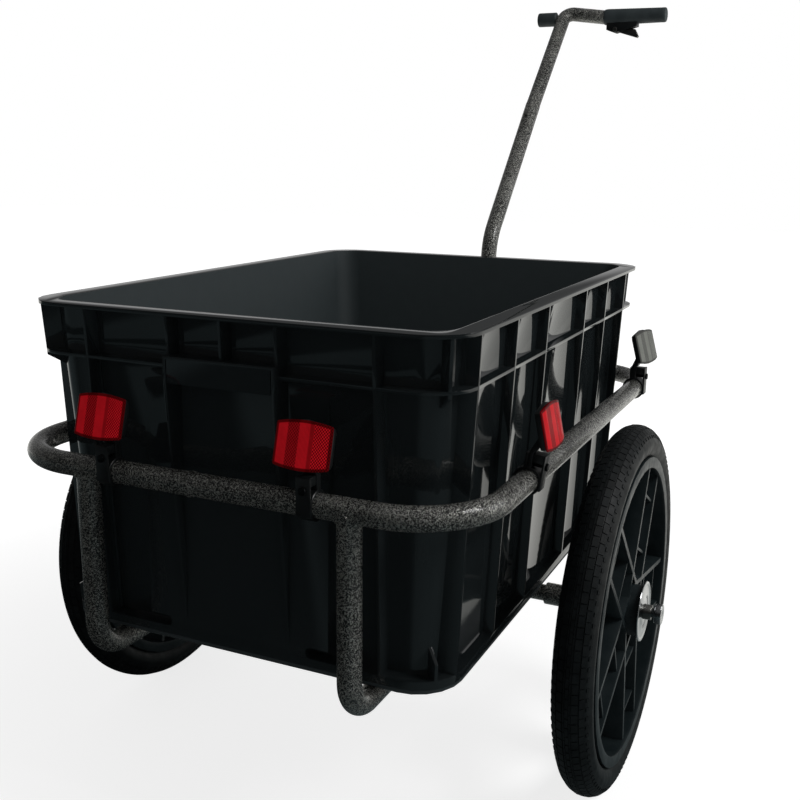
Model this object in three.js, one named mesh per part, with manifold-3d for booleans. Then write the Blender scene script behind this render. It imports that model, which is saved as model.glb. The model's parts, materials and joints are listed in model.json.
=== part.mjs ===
// Cargo bike trailer: ribbed plastic tub in a bent tube frame with two plastic spoked wheels.
// Millimetres, +Z up, +Y to the front (drawbar end), +X to the right seen from behind.
// Worked out about the tub: X = Y = 0 at its middle, Z = 0 at its underside, shifted at the end.
import * as THREE from "three";
import { mergeVertices } from "three/addons/utils/BufferGeometryUtils.js";
import Module from "manifold-3d";

const wasm = await Module();
wasm.setup();

// Running and joint clearances
const gap = 0.3;
const edgeRound = 1.5;
const overrun = 5;
const weldTolerance = 0.0001;

// Tub
const tubWidth = 454;
const tubLength = 639.6;
const tubHeight = 324.1;
const wallThick = 3;
const wallInset = 16;
const wallDraft = 0.047;
const rimSetback = 1.5;
const lipThick = 3.5;
const lipCorner = 45;
const envelopeCorner = 43;
const wallCorner = 29;
const cavityCorner = 26;
const floorThick = 3.5;
const shelfDrop = 50.1;
const shelfHeight = tubHeight - shelfDrop;
const shelfThick = 3;
const ribThick = 3;
const baseBand = 14;
const skirtThick = 3;
const sideRibShares = [-0.8505, -0.5629, -0.2689, 0.1626, 0.4503, 0.7348];
const endRibShares = [-0.6564, 0.6564];
const cornerSteps = 5;
const footChamfer = 2.5;
const cornerTail = 26;
const cornerFootTop = 42;

// Tub handles
const handleHalf = 54;
const handleDrop = 38.6;
const handleTall = 24.5;
const handleTop = tubHeight - handleDrop;
const handleBottom = handleTop - handleTall;
const handleProud = 2.5;
const handleSkin = 4;
const finHalf = 56.5;
const finThick = 3;
const finFoot = 24;
const panelHalf = 98;
const ledgeStart = 74;
const ledgeTop = 25;

// Frame tube
const tubeRadius = 11;
const tubeSides = 14;
const boreSides = 22;
const ringSideGap = 15.5;
const ringRearGap = 17.2;
const ringFrontGap = 10.2;
const ringDrop = 148.1;
const ringHalf = tubWidth / 2 + ringSideGap;
const ringRear = -tubLength / 2 - ringRearGap;
const ringFront = tubLength / 2 + ringFrontGap;
const ringHeight = tubHeight - ringDrop;
const ringBend = 80;
const seamAt = -20;
const beadRadius = 12.4;
const beadHalf = 4;
const cradleInset = 105.5;
const cradleHalf = ringHalf - cradleInset;
const cradleBend = 33;
const frontBend = 28;
const bendSteps = 6;
const collarRadius = 12.6;
const collarLong = 5;

// Wheels
const wheelClear = 51.4;
const wheelHalf = ringHalf + wheelClear;
const wheelRadius = 197.3;
const tyreHalf = 20;
const tyreWall = 3.2;
const tyreMouth = 60;
const tyreSteps = 10;
const wheelSides = 48;
const rimFlange = 164.5;
const rimBarrel = 153;
const rimHalf = 19;
const rimSkin = 3;
const hubRadius = 27;
const hubHalf = 26;
const hubSides = 28;
const spokeCount = 5;
const spokePhase = 62.5;
const spokeSpread = 29;
const spokeWall = 5;
const spokeHalf = 15.5;
const webHalf = 1.6;
const crossRibShares = [0.42, 0.8];
const bearingRadius = 14;
const capRadius = 32;
const capThick = 2;
const neckRadius = 8;
const neckLong = 10.1;
const neckOut = wheelHalf + hubHalf + neckLong;
const knobRadius = 11;
const knobLong = 11;
const knobOut = neckOut + knobLong;
const knobPress = 4;
const buttonRadius = 5;
const buttonProud = 2;

// Axle line
const axleY = -15;
const axleDrop = 9.3;
const axleRadius = 9;
const sleeveRadius = 12;
const sleeveClear = 5.9;
const sleeveLong = 48;
const pinTail = 10;
const sleeveOut = wheelHalf - hubHalf - sleeveClear;
const sleeveIn = sleeveOut - sleeveLong;
const pinRadius = 6;
const pinIn = sleeveIn - pinTail;

// Drawbar
const saddleLong = 23;
const barFront = ringFront + saddleLong;
const barKnee = 342.5;
const barSlope = 47.5;
const kneeBend = 70;
const barOnAxle = 5;
const barRearEnd = axleY + barOnAxle;
const jointAlong = 263;
const jointBoltBack = 29;
const spigotRadius = 9;
const spigotLong = 46;
const boltRadius = 3;
const boltHeadRadius = 4.6;
const boltHeadThick = 2.6;
const nutRadius = 5.4;
const nutThick = 4.5;

// Handle bar and coupling
const crownX = 4.3;
const crownAhead = 138.3;
const crownAbove = 149.6;
const crownBend = 14;
const gripBack = 6;
const gripBelow = 9.4;
const gripIn = 71;
const gripOut = 168;
const gripBore = 10;
const gripInnerRadius = 12.2;
const gripOuterRadius = 11;
const gripBarEnd = 158;
const stubEnd = -34;
const stubRadius = 8;
const leftGripIn = -12;
const leftGripOut = -38;
const leftGripRadius = 10.7;
const neckClamp = 5;
const latchIn = 76;
const latchOut = 124;
const latchRoof = 12.6;
const latchTall = 12;
const latchReach = 8;
const latchSkin = 3;
const latchHalf = 8;
const leverPivotX = 90;
const pivotRise = 5;
const leverPinRadius = 2;
const leverHead = 3.6;
const leverThick = 2;

// Saddle between ring and drawbar
const saddleHalf = 12;
const saddleTall = 13;
const saddleHeadRadius = 6;
const saddleHeadThick = 4;

// Folding stand
const standBack = 8;
const standY = ringFront - standBack;
const standZ = -37;
const standRadius = 8;
const standEar = 3;
const standEarHalf = 11;
const standPinRadius = 4;
const standHeadRadius = 7;
const standHeadThick = 4;
const footRadius = 13;
const footTall = 24;
const footFloor = 6;

// Reflectors
const strapHalf = 7.5;
const strapThick = 2.4;
const strapSides = 18;
const earHalfX = 7;
const earGap = 3;
const earTop = 27;
const screwHeight = 15.5;
const screwRadius = 2;
const screwHead = 3.8;
const screwHeadThick = 2;
const screwSides = 10;
const lensWide = 53;
const lensTall = 35.5;
const lensThick = 4.5;
const lensStep = 2.2;
const lensLedge = 2;
const lensBulge = 8;
const trayThick = 3;
const trayCentre = 50.5;
const lensFace = 15;
const webThick = 4;
const lensCorner = 5;
const armFootShare = 0.3;
const rearLeftInset = 28.5;
const rearRightInset = 36;
const sideReflectorY = -188;
const frontBendClear = 8;
const clampLean = 16;
const sideLean = 20;
const sideTilt = 8;
const frontTurn = 10;

// Colours
const plasticBlack = 0x101517;
const paintGrey = 0x3a3f40;
const gripSlate = 0x30393b;
const rubberBlack = 0x14181a;
const chromeGrey = 0xc9ccce;
const zincGrey = 0x9a9fa2;
const lensRed = 0xc4141e;
const lensClear = 0xb9b9b2;

const trailer = new THREE.Group();
trailer.name = "cargo_trailer";

const rad = THREE.MathUtils.degToRad;
const v3 = (x, y, z) => new THREE.Vector3(x, y, z);
const axisX = v3(1, 0, 0);
const axisY = v3(0, 1, 0);
const axisZ = v3(0, 0, 1);

// Closed solid from any closed geometry, turned so that its faces point outward
function toSolid(geometry) {
  const bare = geometry.index ? geometry.toNonIndexed() : geometry.clone();
  bare.deleteAttribute("normal");
  bare.deleteAttribute("uv");
  const merged = mergeVertices(bare, weldTolerance);
  const places = merged.attributes.position;
  const triangles = new Uint32Array(merged.index.array);
  const a = v3(0, 0, 0);
  const b = v3(0, 0, 0);
  const c = v3(0, 0, 0);
  let volume = 0;
  for (let i = 0; i < triangles.length; i += 3) {
    a.fromBufferAttribute(places, triangles[i]);
    b.fromBufferAttribute(places, triangles[i + 1]);
    c.fromBufferAttribute(places, triangles[i + 2]);
    volume += a.dot(b.cross(c));
  }
  if (volume < 0) triangles.reverse();
  return new wasm.Manifold(new wasm.Mesh({
    numProp: 3,
    vertProperties: new Float32Array(places.array),
    triVerts: triangles,
  }));
}

// Joins a list of solids
function fuse(solids) {
  return solids.reduce((whole, next) => whole.add(next));
}

// Named mesh of a solid, added to its group
function addPart(name, color, solid, parent = trailer) {
  const out = solid.getMesh();
  const geometry = new THREE.BufferGeometry();
  geometry.setAttribute("position", new THREE.BufferAttribute(new Float32Array(out.vertProperties), 3));
  geometry.setIndex(new THREE.BufferAttribute(new Uint32Array(out.triVerts), 1));
  geometry.computeVertexNormals();
  const mesh = new THREE.Mesh(geometry, new THREE.MeshStandardMaterial({ color }));
  mesh.name = name;
  parent.add(mesh);
  return mesh;
}

// Block between two corners
function block(x0, x1, y0, y1, z0, z1) {
  const geometry = new THREE.BoxGeometry(x1 - x0, y1 - y0, z1 - z0);
  geometry.translate((x0 + x1) / 2, (y0 + y1) / 2, (z0 + z1) / 2);
  return toSolid(geometry);
}

// Geometry moved so that its local Y runs along a direction from a start point
function aim(geometry, from, direction) {
  const turn = new THREE.Quaternion().setFromUnitVectors(axisY, direction.clone().normalize());
  geometry.applyQuaternion(turn);
  geometry.translate(from.x, from.y, from.z);
  return geometry;
}

// Straight round bar from a point along a direction
function bar(from, direction, long, radius, sides = tubeSides) {
  const geometry = new THREE.CylinderGeometry(radius, radius, long, sides);
  geometry.translate(0, long / 2, 0);
  return toSolid(aim(geometry, from, direction));
}

// Turned body: profile pairs are [radius, distance along the direction]
function turned(profile, from, direction, sides) {
  const points = profile.map(([r, along]) => new THREE.Vector2(r, along));
  return toSolid(aim(new THREE.LatheGeometry(points, sides), from, direction));
}

// Hexagon nut with a round bore
function nut(from, direction) {
  const hexagon = turned([[0, 0], [nutRadius, 0], [nutRadius, nutThick], [0, nutThick]], from, direction, 6);
  const start = from.clone().addScaledVector(direction, -overrun);
  return hexagon.subtract(bar(start, direction, nutThick + 2 * overrun, boltRadius + gap, tubeSides));
}

// Plate cut from an outline of [y, z] pairs and running from x0 to x1
function plateYZ(outline, x0, x1) {
  const shape = new THREE.Shape(outline.map(([y, z]) => new THREE.Vector2(y, z)));
  const geometry = new THREE.ExtrudeGeometry(shape, { depth: x1 - x0, bevelEnabled: false });
  geometry.applyMatrix4(new THREE.Matrix4().makeBasis(axisY, axisZ, axisX));
  geometry.translate(x0, 0, 0);
  return toSolid(geometry);
}

// Plate cut from an outline of [x, z] pairs and running from y0 to y1
function plateXZ(outline, y0, y1) {
  const shape = new THREE.Shape(outline.map(([x, z]) => new THREE.Vector2(x, z)));
  const geometry = new THREE.ExtrudeGeometry(shape, { depth: y1 - y0, bevelEnabled: false });
  geometry.applyMatrix4(new THREE.Matrix4().makeBasis(axisX, axisZ, axisY.clone().negate()));
  geometry.translate(0, y1, 0);
  return toSolid(geometry);
}

// Rounded rectangle of points at one height
function roundedLoop(halfX, halfY, radius, z) {
  const loop = [];
  const corners = [[1, 1], [-1, 1], [-1, -1], [1, -1]];
  corners.forEach(([sx, sy], quarter) => {
    for (let step = 0; step <= cornerSteps; step += 1) {
      const angle = (quarter + step / cornerSteps) * Math.PI / 2;
      const x = sx * (halfX - radius) + radius * Math.cos(angle);
      const y = sy * (halfY - radius) + radius * Math.sin(angle);
      loop.push(v3(x, y, z));
    }
  });
  return loop;
}

// Closed body through equal loops from bottom to top
function loft(loops) {
  const count = loops[0].length;
  const points = loops.flat();
  const index = [];
  for (let layer = 0; layer < loops.length - 1; layer += 1) {
    for (let i = 0; i < count; i += 1) {
      const a = layer * count + i;
      const b = layer * count + (i + 1) % count;
      index.push(a, b, b + count, a, b + count, a + count);
    }
  }
  const top = (loops.length - 1) * count;
  for (let i = 1; i < count - 1; i += 1) {
    index.push(0, i + 1, i, top, top + i, top + i + 1);
  }
  const geometry = new THREE.BufferGeometry();
  geometry.setFromPoints(points);
  geometry.setIndex(index);
  return toSolid(geometry);
}

// Tube route: straight runs joined by true arcs, with one station at each needed place
class Route extends THREE.Curve {
  constructor(corners, radii) {
    super();
    this.places = [corners[0]];
    this.headings = [corners[1].clone().sub(corners[0]).normalize()];
    for (let i = 1; i < corners.length - 1; i += 1) {
      const inward = corners[i].clone().sub(corners[i - 1]).normalize();
      const outward = corners[i + 1].clone().sub(corners[i]).normalize();
      const swing = inward.angleTo(outward);
      const reach = radii[i - 1] * Math.tan(swing / 2);
      const start = corners[i].clone().addScaledVector(inward, -reach);
      const toCentre = outward.clone().addScaledVector(inward, -outward.dot(inward)).normalize();
      const steps = Math.max(2, Math.round(bendSteps * swing / (Math.PI / 2)));
      for (let step = 0; step <= steps; step += 1) {
        const angle = swing * step / steps;
        const ahead = radii[i - 1] * Math.sin(angle);
        const across = radii[i - 1] * (1 - Math.cos(angle));
        const place = start.clone().addScaledVector(inward, ahead).addScaledVector(toCentre, across);
        const heading = inward.clone().multiplyScalar(Math.cos(angle));
        this.places.push(place);
        this.headings.push(heading.addScaledVector(toCentre, Math.sin(angle)));
      }
    }
    this.places.push(corners[corners.length - 1]);
    this.headings.push(this.headings[this.headings.length - 1].clone());
  }

  get steps() {
    return this.places.length - 1;
  }

  getSpacedPoints() {
    return this.places.map((place) => place.clone());
  }

  getTangentAt(u, target = v3(0, 0, 0)) {
    return target.copy(this.headings[Math.round(u * this.steps)]);
  }
}

// Round tube swept along a route
function tube(corners, radii, radius, sides = tubeSides) {
  const route = new Route(corners, radii);
  const outline = [];
  for (let i = 0; i < sides; i += 1) {
    const angle = i / sides * 2 * Math.PI;
    outline.push(new THREE.Vector2(radius * Math.cos(angle), radius * Math.sin(angle)));
  }
  const options = { steps: route.steps, extrudePath: route, bevelEnabled: false };
  return toSolid(new THREE.ExtrudeGeometry(new THREE.Shape(outline), options));
}

// Half sizes of the rib plane at a height
const halfW = tubWidth / 2;
const halfL = tubLength / 2;
const backAt = (z) => rimSetback + wallDraft * (tubHeight - z);

// Drafted shell body at a set depth behind the rib plane
function drafted(depth, radius, z0, z1) {
  const atFoot = depth === 0 ? footChamfer : 0;
  const knee = z0 + atFoot;
  const foot = roundedLoop(halfW - backAt(z0) - depth - atFoot, halfL - backAt(z0) - depth - atFoot,
    radius, z0);
  const low = roundedLoop(halfW - backAt(knee) - depth, halfL - backAt(knee) - depth, radius, knee);
  const high = roundedLoop(halfW - backAt(z1) - depth, halfL - backAt(z1) - depth, radius, z1);
  return loft(atFoot > 0 ? [foot, low, high] : [low, high]);
}

// Tub: drafted wall, ribs, shelf, base band, handles and lip
function makeTub() {
  const wall = drafted(wallInset, wallCorner, 0, tubHeight);
  const envelope = drafted(0, envelopeCorner, 0, tubHeight);
  const plates = [];
  for (const share of sideRibShares) {
    const y = share * halfL;
    plates.push(block(-halfW, halfW, y - ribThick / 2, y + ribThick / 2, 0, tubHeight));
  }
  for (const share of endRibShares) {
    const x = share * halfW;
    plates.push(block(x - ribThick / 2, x + ribThick / 2, -halfL, halfL, 0, tubHeight));
  }
  for (const x of [-finHalf, 0, finHalf]) {
    plates.push(block(x - ribThick / 2, x + ribThick / 2, -halfL, halfL, handleTop - shelfThick, tubHeight));
  }
  plates.push(block(-halfW, halfW, -halfL, halfL, shelfHeight, shelfHeight + shelfThick));
  plates.push(block(-halfW, halfW, -halfL, halfL, 0, baseBand));

  // Diagonal corner plates with a pointed tail below the shelf and a gusset at the foot
  const diagonal = Math.hypot(halfW, halfL);
  const cornerOutline = [[0, shelfHeight - cornerTail], [diagonal, shelfHeight + shelfThick],
    [diagonal, tubHeight], [0, tubHeight]];
  const footOutline = [[0, 0], [diagonal, 0], [diagonal, baseBand], [0, cornerFootTop]];
  for (const [sx, sy] of [[1, 1], [-1, 1], [-1, -1], [1, -1]]) {
    const cornerX = sx * (halfW - envelopeCorner);
    const cornerY = sy * (halfL - envelopeCorner);
    for (const outline of [cornerOutline, footOutline]) {
      const scaled = outline.map(([along, z]) => [along / diagonal * (envelopeCorner + overrun), z]);
      const shape = new THREE.Shape(scaled.map(([along, z]) => new THREE.Vector2(along, z)));
      const geometry = new THREE.ExtrudeGeometry(shape, { depth: ribThick, bevelEnabled: false });
      geometry.translate(0, 0, -ribThick / 2);
      const out = v3(sx, sy, 0).normalize();
      const side = out.clone().cross(axisZ);
      geometry.applyMatrix4(new THREE.Matrix4().makeBasis(out, axisZ, side));
      geometry.translate(cornerX, cornerY, 0);
      plates.push(toSolid(geometry));
    }
  }
  const ribs = fuse(plates).intersect(envelope);

  // Handles, fins and the sloping panel between the fins, for the rear and the front end
  const endParts = [];
  const endPockets = [];
  const wallFace = halfL - backAt(handleBottom) - wallInset;
  const footFace = halfL - backAt(finFoot);
  const floorFace = halfL - backAt(0);
  const inside = wallFace - wallThick / 2;
  const front = halfL + handleProud;
  for (const s of [-1, 1]) {
    const backFace = floorFace - wallInset;
    const flip = (outline) => outline.map(([y, z]) => [s * y, z]);
    const fin = [[inside, handleTop], [front, handleTop], [front, handleBottom],
      [footFace, finFoot], [floorFace, footChamfer], [floorFace - footChamfer, 0],
      [inside - wallInset, 0]];
    const panel = [[inside, handleBottom], [wallFace, handleBottom], [footFace, finFoot],
      [floorFace, footChamfer], [floorFace - footChamfer, 0], [inside - wallInset, 0]];
    const pocket = [[wallFace - wallThick, handleBottom - wallInset], [footFace - wallThick, finFoot],
      [floorFace - skirtThick, -overrun], [backFace, -overrun],
      [wallFace - wallInset / 2, finFoot + wallInset]];
    for (const x of [-finHalf, finHalf]) {
      endParts.push(plateYZ(flip(fin), x - finThick / 2, x + finThick / 2));
    }
    endParts.push(plateYZ(flip(panel), -panelHalf, panelHalf));
    const [y0, y1] = [s * inside, s * front].sort((a, b) => a - b);
    endParts.push(block(-finHalf, finHalf, y0, y1, handleTop - shelfThick, handleTop));
    const [f0, f1] = [s * (front - handleSkin), s * front].sort((a, b) => a - b);
    endParts.push(block(-handleHalf, handleHalf, f0, f1, handleBottom, handleTop));
    const [g0, g1] = [s * inside, s * (front - handleSkin)].sort((a, b) => a - b);
    endPockets.push(block(-handleHalf, handleHalf, g0, g1, handleBottom, handleTop - shelfThick));
    endPockets.push(plateYZ(flip(pocket), -finHalf + finThick, finHalf - finThick));
    const [h0, h1] = [s * backFace, s * front].sort((a, b) => a - b);
    const ledgeRound = (ledgeTop - baseBand) / 2;
    for (const side of [-1, 1]) {
      const [x0, x1] = [side * (finHalf + finThick), side * (ledgeStart - ribThick)].sort((a, b) => a - b);
      endPockets.push(plateYZ(flip(pocket), x0, x1));
      const [x2, x3] = [side * (ledgeStart + ledgeRound), side * panelHalf].sort((a, b) => a - b);
      endPockets.push(block(x2, x3, h0, h1, baseBand, ledgeTop));
      endPockets.push(bar(v3(side * (ledgeStart + ledgeRound), h0, baseBand + ledgeRound), axisY, h1 - h0,
        ledgeRound));
    }
  }

  // Lip over the rib plane
  const lip = loft([roundedLoop(halfW, halfL, lipCorner, tubHeight - lipThick),
    roundedLoop(halfW, halfL, lipCorner, tubHeight)]);

  // Hollows: the load space, the open underside of the base band and the end pockets
  const cavity = drafted(wallInset + wallThick, cavityCorner, floorThick, tubHeight + overrun);
  const skirtOuter = drafted(skirtThick, envelopeCorner - skirtThick, -overrun, baseBand - shelfThick);
  const skirtInner = drafted(wallInset, wallCorner, -overrun - gap, baseBand);
  const channel = skirtOuter.subtract(skirtInner);
  const keep = fuse(endRibShares.flatMap((share) => [block(share * halfW - ribThick / 2,
    share * halfW + ribThick / 2, -halfL, halfL, -overrun, baseBand)])
    .concat(sideRibShares.map((share) => block(-halfW, halfW, share * halfL - ribThick / 2,
      share * halfL + ribThick / 2, -overrun, baseBand)))
    .concat([-finHalf, finHalf].map((x) => block(x - finThick / 2, x + finThick / 2,
      -halfL, halfL, -overrun, baseBand))));
  const hollows = fuse([cavity, channel.subtract(keep), ...endPockets.map((p) => p.subtract(wall))]);
  return fuse([wall, ribs, ...endParts, lip]).subtract(hollows);
}
addPart("tub", plasticBlack, makeTub());

// Ring tube round the tub with one butt weld on the rear run
const ringCorners = [
  v3(seamAt + gap / 2, ringRear, ringHeight),
  v3(ringHalf, ringRear, ringHeight),
  v3(ringHalf, ringFront, ringHeight),
  v3(-ringHalf, ringFront, ringHeight),
  v3(-ringHalf, ringRear, ringHeight),
  v3(seamAt - gap / 2, ringRear, ringHeight),
];
const ringRadii = [ringBend, ringBend, ringBend, ringBend];
const bead = turned([[0, -beadHalf], [tubeRadius, -beadHalf], [beadRadius, -beadHalf / 2],
  [beadRadius, beadHalf / 2], [tubeRadius, beadHalf], [0, beadHalf]],
v3(seamAt, ringRear, ringHeight), axisX, tubeSides);
const ringSolid = tube(ringCorners, ringRadii, tubeRadius).add(bead);

// Cut that leaves room for the ring in whatever is fitted to it
const ringCut = fuse([
  bar(v3(-ringHalf, ringRear, ringHeight), axisX, 2 * ringHalf, tubeRadius + gap, boreSides),
  bar(v3(-ringHalf, ringFront, ringHeight), axisX, 2 * ringHalf, tubeRadius + gap, boreSides),
]);

// Bolt through ring, saddle and drawbar
const saddleBoltLow = ringFront - tubeRadius - gap;
const saddleBoltHigh = barFront + tubeRadius + gap;
const saddleHole = bar(v3(0, saddleBoltLow - overrun, ringHeight), axisY,
  saddleBoltHigh - saddleBoltLow + 2 * overrun, boltRadius + gap, tubeSides);
addPart("ring_tube", paintGrey, ringSolid.subtract(saddleHole));

// Cradles: hangers under the ring that run below the tub
const cradleZ = -tubeRadius - gap;
const axleZ = -axleDrop;
for (const [side, word] of [[-1, "left"], [1, "right"]]) {
  const x = side * cradleHalf;
  const hanger = tube([v3(x, ringRear, ringHeight), v3(x, ringRear, cradleZ),
    v3(x, ringFront, cradleZ), v3(x, ringFront, ringHeight)],
  [cradleBend, frontBend], tubeRadius);
  const collars = [ringRear, ringFront].map((y) => turned([[0, 0], [collarRadius, 0],
    [tubeRadius, collarLong], [0, collarLong]], v3(x, y, ringHeight - tubeRadius - gap),
  axisZ.clone().negate(), tubeSides));
  addPart(`cradle_${word}`, paintGrey, fuse([hanger, ...collars]).subtract(ringCut));
}

// Axle: middle tube between the cradles and one outer tube with a bored sleeve on each side
const cradleCut = fuse([-1, 1].map((side) => bar(v3(side * cradleHalf, -halfL, cradleZ), axisY,
  2 * halfL, tubeRadius + gap, boreSides)));
const middleAxle = bar(v3(-cradleHalf, axleY, axleZ), axisX, 2 * cradleHalf, axleRadius);
addPart("axle_middle", paintGrey, middleAxle.subtract(cradleCut));
for (const [side, word] of [[-1, "left"], [1, "right"]]) {
  const out = v3(side, 0, 0);
  const start = v3(side * cradleHalf, axleY, axleZ);
  const outer = turned([[0, 0], [axleRadius, 0], [axleRadius, sleeveIn - cradleHalf],
    [sleeveRadius, sleeveIn - cradleHalf], [sleeveRadius, sleeveOut - cradleHalf],
    [pinRadius + gap, sleeveOut - cradleHalf], [pinRadius + gap, pinIn - gap - cradleHalf],
    [0, pinIn - gap - cradleHalf]], start, out, tubeSides);
  addPart(`axle_sleeve_${word}`, paintGrey, outer.subtract(cradleCut));
}

// Wheel bodies, worked out about the wheel centre with local Y as the outward axle direction
function makeTyre(centre, out) {
  const rise = wheelRadius - tyreHalf;
  const outer = [];
  const inner = [];
  const arcSpan = Math.PI + 2 * rad(tyreMouth);
  for (let step = 0; step <= tyreSteps; step += 1) {
    const angle = arcSpan * step / tyreSteps - rad(tyreMouth);
    outer.push([rise + tyreHalf * Math.sin(angle), tyreHalf * Math.cos(angle)]);
    const hollow = tyreHalf - tyreWall;
    inner.unshift([rise + hollow * Math.sin(angle), hollow * Math.cos(angle)]);
  }
  const profile = [...outer, ...inner, outer[0]];
  return turned(profile, centre, out, wheelSides);
}

function makeRim(centre, out) {
  const channelHalf = tyreHalf * Math.cos(rad(tyreMouth)) - tyreWall - gap;
  const rimBed = wheelRadius - tyreHalf - tyreHalf * Math.sin(rad(tyreMouth)) - gap;
  const bed = rimBed - rimSkin;
  const lipIn = rimHalf - rimSkin;
  const profile = [
    [rimBarrel, -rimHalf], [rimFlange, -rimHalf], [rimFlange, -lipIn], [rimBed, -lipIn],
    [rimBed, -channelHalf], [bed, -channelHalf + edgeRound], [bed, channelHalf - edgeRound],
    [rimBed, channelHalf], [rimBed, lipIn], [rimFlange, lipIn],
    [rimFlange, rimHalf], [rimBarrel, rimHalf], [rimBarrel - gap, lipIn],
    [bed - rimSkin, channelHalf], [bed - rimSkin, -channelHalf], [rimBarrel - gap, -lipIn],
    [rimBarrel, -rimHalf],
  ];
  const origin = v3(0, 0, 0);
  const ring = turned(profile, origin, axisY, wheelSides);
  const hub = turned([[0, -hubHalf], [hubRadius, -hubHalf], [hubRadius, hubHalf], [0, hubHalf]],
    origin, axisY, hubSides);
  const reach = bed - rimSkin / 2;
  const limit = turned([[0, -hubHalf], [reach, -hubHalf], [reach, hubHalf], [0, hubHalf]],
    origin, axisY, wheelSides);
  const pieces = [];
  for (let i = 0; i < spokeCount; i += 1) {
    const turn = new THREE.Matrix4().makeRotationY(-rad(spokePhase) - i * 2 * Math.PI / spokeCount);
    const spoke = [];
    for (const s of [-1, 1]) {
      const edge = s * (spokeSpread - spokeWall / 2);
      const wall = new THREE.BoxGeometry(rimFlange, 2 * spokeHalf, spokeWall);
      wall.translate(rimFlange / 2, 0, edge);
      spoke.push(wall);
    }
    const web = new THREE.BoxGeometry(rimFlange, 2 * webHalf, 2 * spokeSpread - spokeWall);
    web.translate(rimFlange / 2, 0, 0);
    spoke.push(web);
    for (const share of crossRibShares) {
      const cross = new THREE.BoxGeometry(rimSkin, 2 * spokeHalf - spokeWall, 2 * spokeSpread - spokeWall);
      cross.translate(share * rimBarrel, 0, 0);
      spoke.push(cross);
    }
    pieces.push(...spoke.map((geometry) => toSolid(geometry.applyMatrix4(turn))));
  }
  const bore = turned([[0, -hubHalf - gap], [bearingRadius + gap, -hubHalf - gap],
    [bearingRadius + gap, hubHalf + gap], [0, hubHalf + gap]], origin, axisY, hubSides);
  const spokes = fuse(pieces).intersect(limit);
  const body = fuse([ring, hub, spokes]).subtract(bore);
  const place = new THREE.Matrix4().makeBasis(v3(0, out.x, 0), out, v3(0, 0, 1));
  place.setPosition(centre);
  return body.transform(place.elements);
}

for (const [side, word] of [[-1, "left"], [1, "right"]]) {
  const out = v3(side, 0, 0);
  const centre = v3(side * wheelHalf, axleY, axleZ);
  addPart(`tyre_${word}`, rubberBlack, makeTyre(centre, out));
  addPart(`rim_${word}`, plasticBlack, makeRim(centre, out));
  addPart(`bearing_${word}`, zincGrey, turned([[pinRadius + gap, -hubHalf], [bearingRadius, -hubHalf],
    [bearingRadius, hubHalf], [pinRadius + gap, hubHalf], [pinRadius + gap, -hubHalf]],
  centre, out, tubeSides));
  const capAt = hubHalf + gap;
  const capEdge = capRadius - capThick;
  addPart(`hub_cap_${word}`, chromeGrey, turned([[neckRadius + gap, capAt], [capEdge, capAt],
    [capRadius, capAt + capThick / 2], [capEdge, capAt + capThick], [neckRadius + gap, capAt + capThick],
    [neckRadius + gap, capAt]], centre, out, hubSides));
  const from = v3(0, axleY, axleZ);
  const neckIn = wheelHalf + capAt;
  addPart(`axle_pin_${word}`, zincGrey, turned([[0, pinIn], [pinRadius, pinIn], [pinRadius, neckIn],
    [neckRadius, neckIn], [neckRadius, neckOut], [buttonRadius + gap, neckOut],
    [buttonRadius + gap, neckIn + knobPress], [0, neckIn + knobPress]], from, out, tubeSides));
  const knobIn = neckOut + knobPress;
  addPart(`release_knob_${word}`, chromeGrey, turned([[0, neckIn + 2 * knobPress],
    [buttonRadius, neckIn + 2 * knobPress], [buttonRadius, knobIn], [knobRadius, knobIn],
    [knobRadius, knobOut - buttonProud / 2], [knobRadius - buttonProud / 2, knobOut], [0, knobOut]],
  from, out, tubeSides));
}

// Drawbar: from the axle forward under the tub, up past the ring and sloping up to the handle bar
const slopeDir = v3(0, Math.cos(rad(barSlope)), Math.sin(rad(barSlope)));
const slopeUp = v3(0, -Math.sin(rad(barSlope)), Math.cos(rad(barSlope)));
const kneePoint = v3(0, barFront, barKnee);
const jointPoint = kneePoint.clone().addScaledVector(slopeDir, jointAlong);
const boltPoint = jointPoint.clone().addScaledVector(slopeDir, -jointBoltBack);
const boltDepth = tubeRadius + gap;
const boltHole = bar(boltPoint.clone().addScaledVector(slopeUp, -boltDepth - overrun), slopeUp,
  2 * (boltDepth + overrun), boltRadius + gap, tubeSides);
const socket = bar(jointPoint.clone().addScaledVector(slopeDir, -spigotLong - gap), slopeDir,
  spigotLong + overrun, spigotRadius + gap, tubeSides);
const axleCut = bar(v3(-cradleHalf, axleY, axleZ), axisX, 2 * cradleHalf, axleRadius + gap, boreSides);
const standX = standRadius + gap;
const earTopZ = cradleZ - tubeRadius / 2;
const ears = [-1, 1].map((s) => {
  const [x0, x1] = [s * standX, s * (standX + standEar)].sort((a, b) => a - b);
  const outline = [[standY - standEarHalf, earTopZ], [standY + standEarHalf, earTopZ],
    [standY + standEarHalf, standZ - standRadius], [standY + standRadius, standZ - standEarHalf],
    [standY - standRadius, standZ - standEarHalf], [standY - standEarHalf, standZ - standRadius]];
  return plateYZ([...outline].reverse(), x0, x1);
});
const standHole = bar(v3(-standX - standEar - overrun, standY, standZ), axisX,
  2 * (standX + standEar + overrun), standPinRadius + gap, tubeSides);
const lowerBar = tube([v3(0, barRearEnd, cradleZ), v3(0, barFront, cradleZ), kneePoint, jointPoint],
  [cradleBend, kneeBend], tubeRadius);
addPart("drawbar_lower", paintGrey, fuse([lowerBar, ...ears]).subtract(
  fuse([socket, boltHole, axleCut, saddleHole, standHole]),
));

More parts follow.
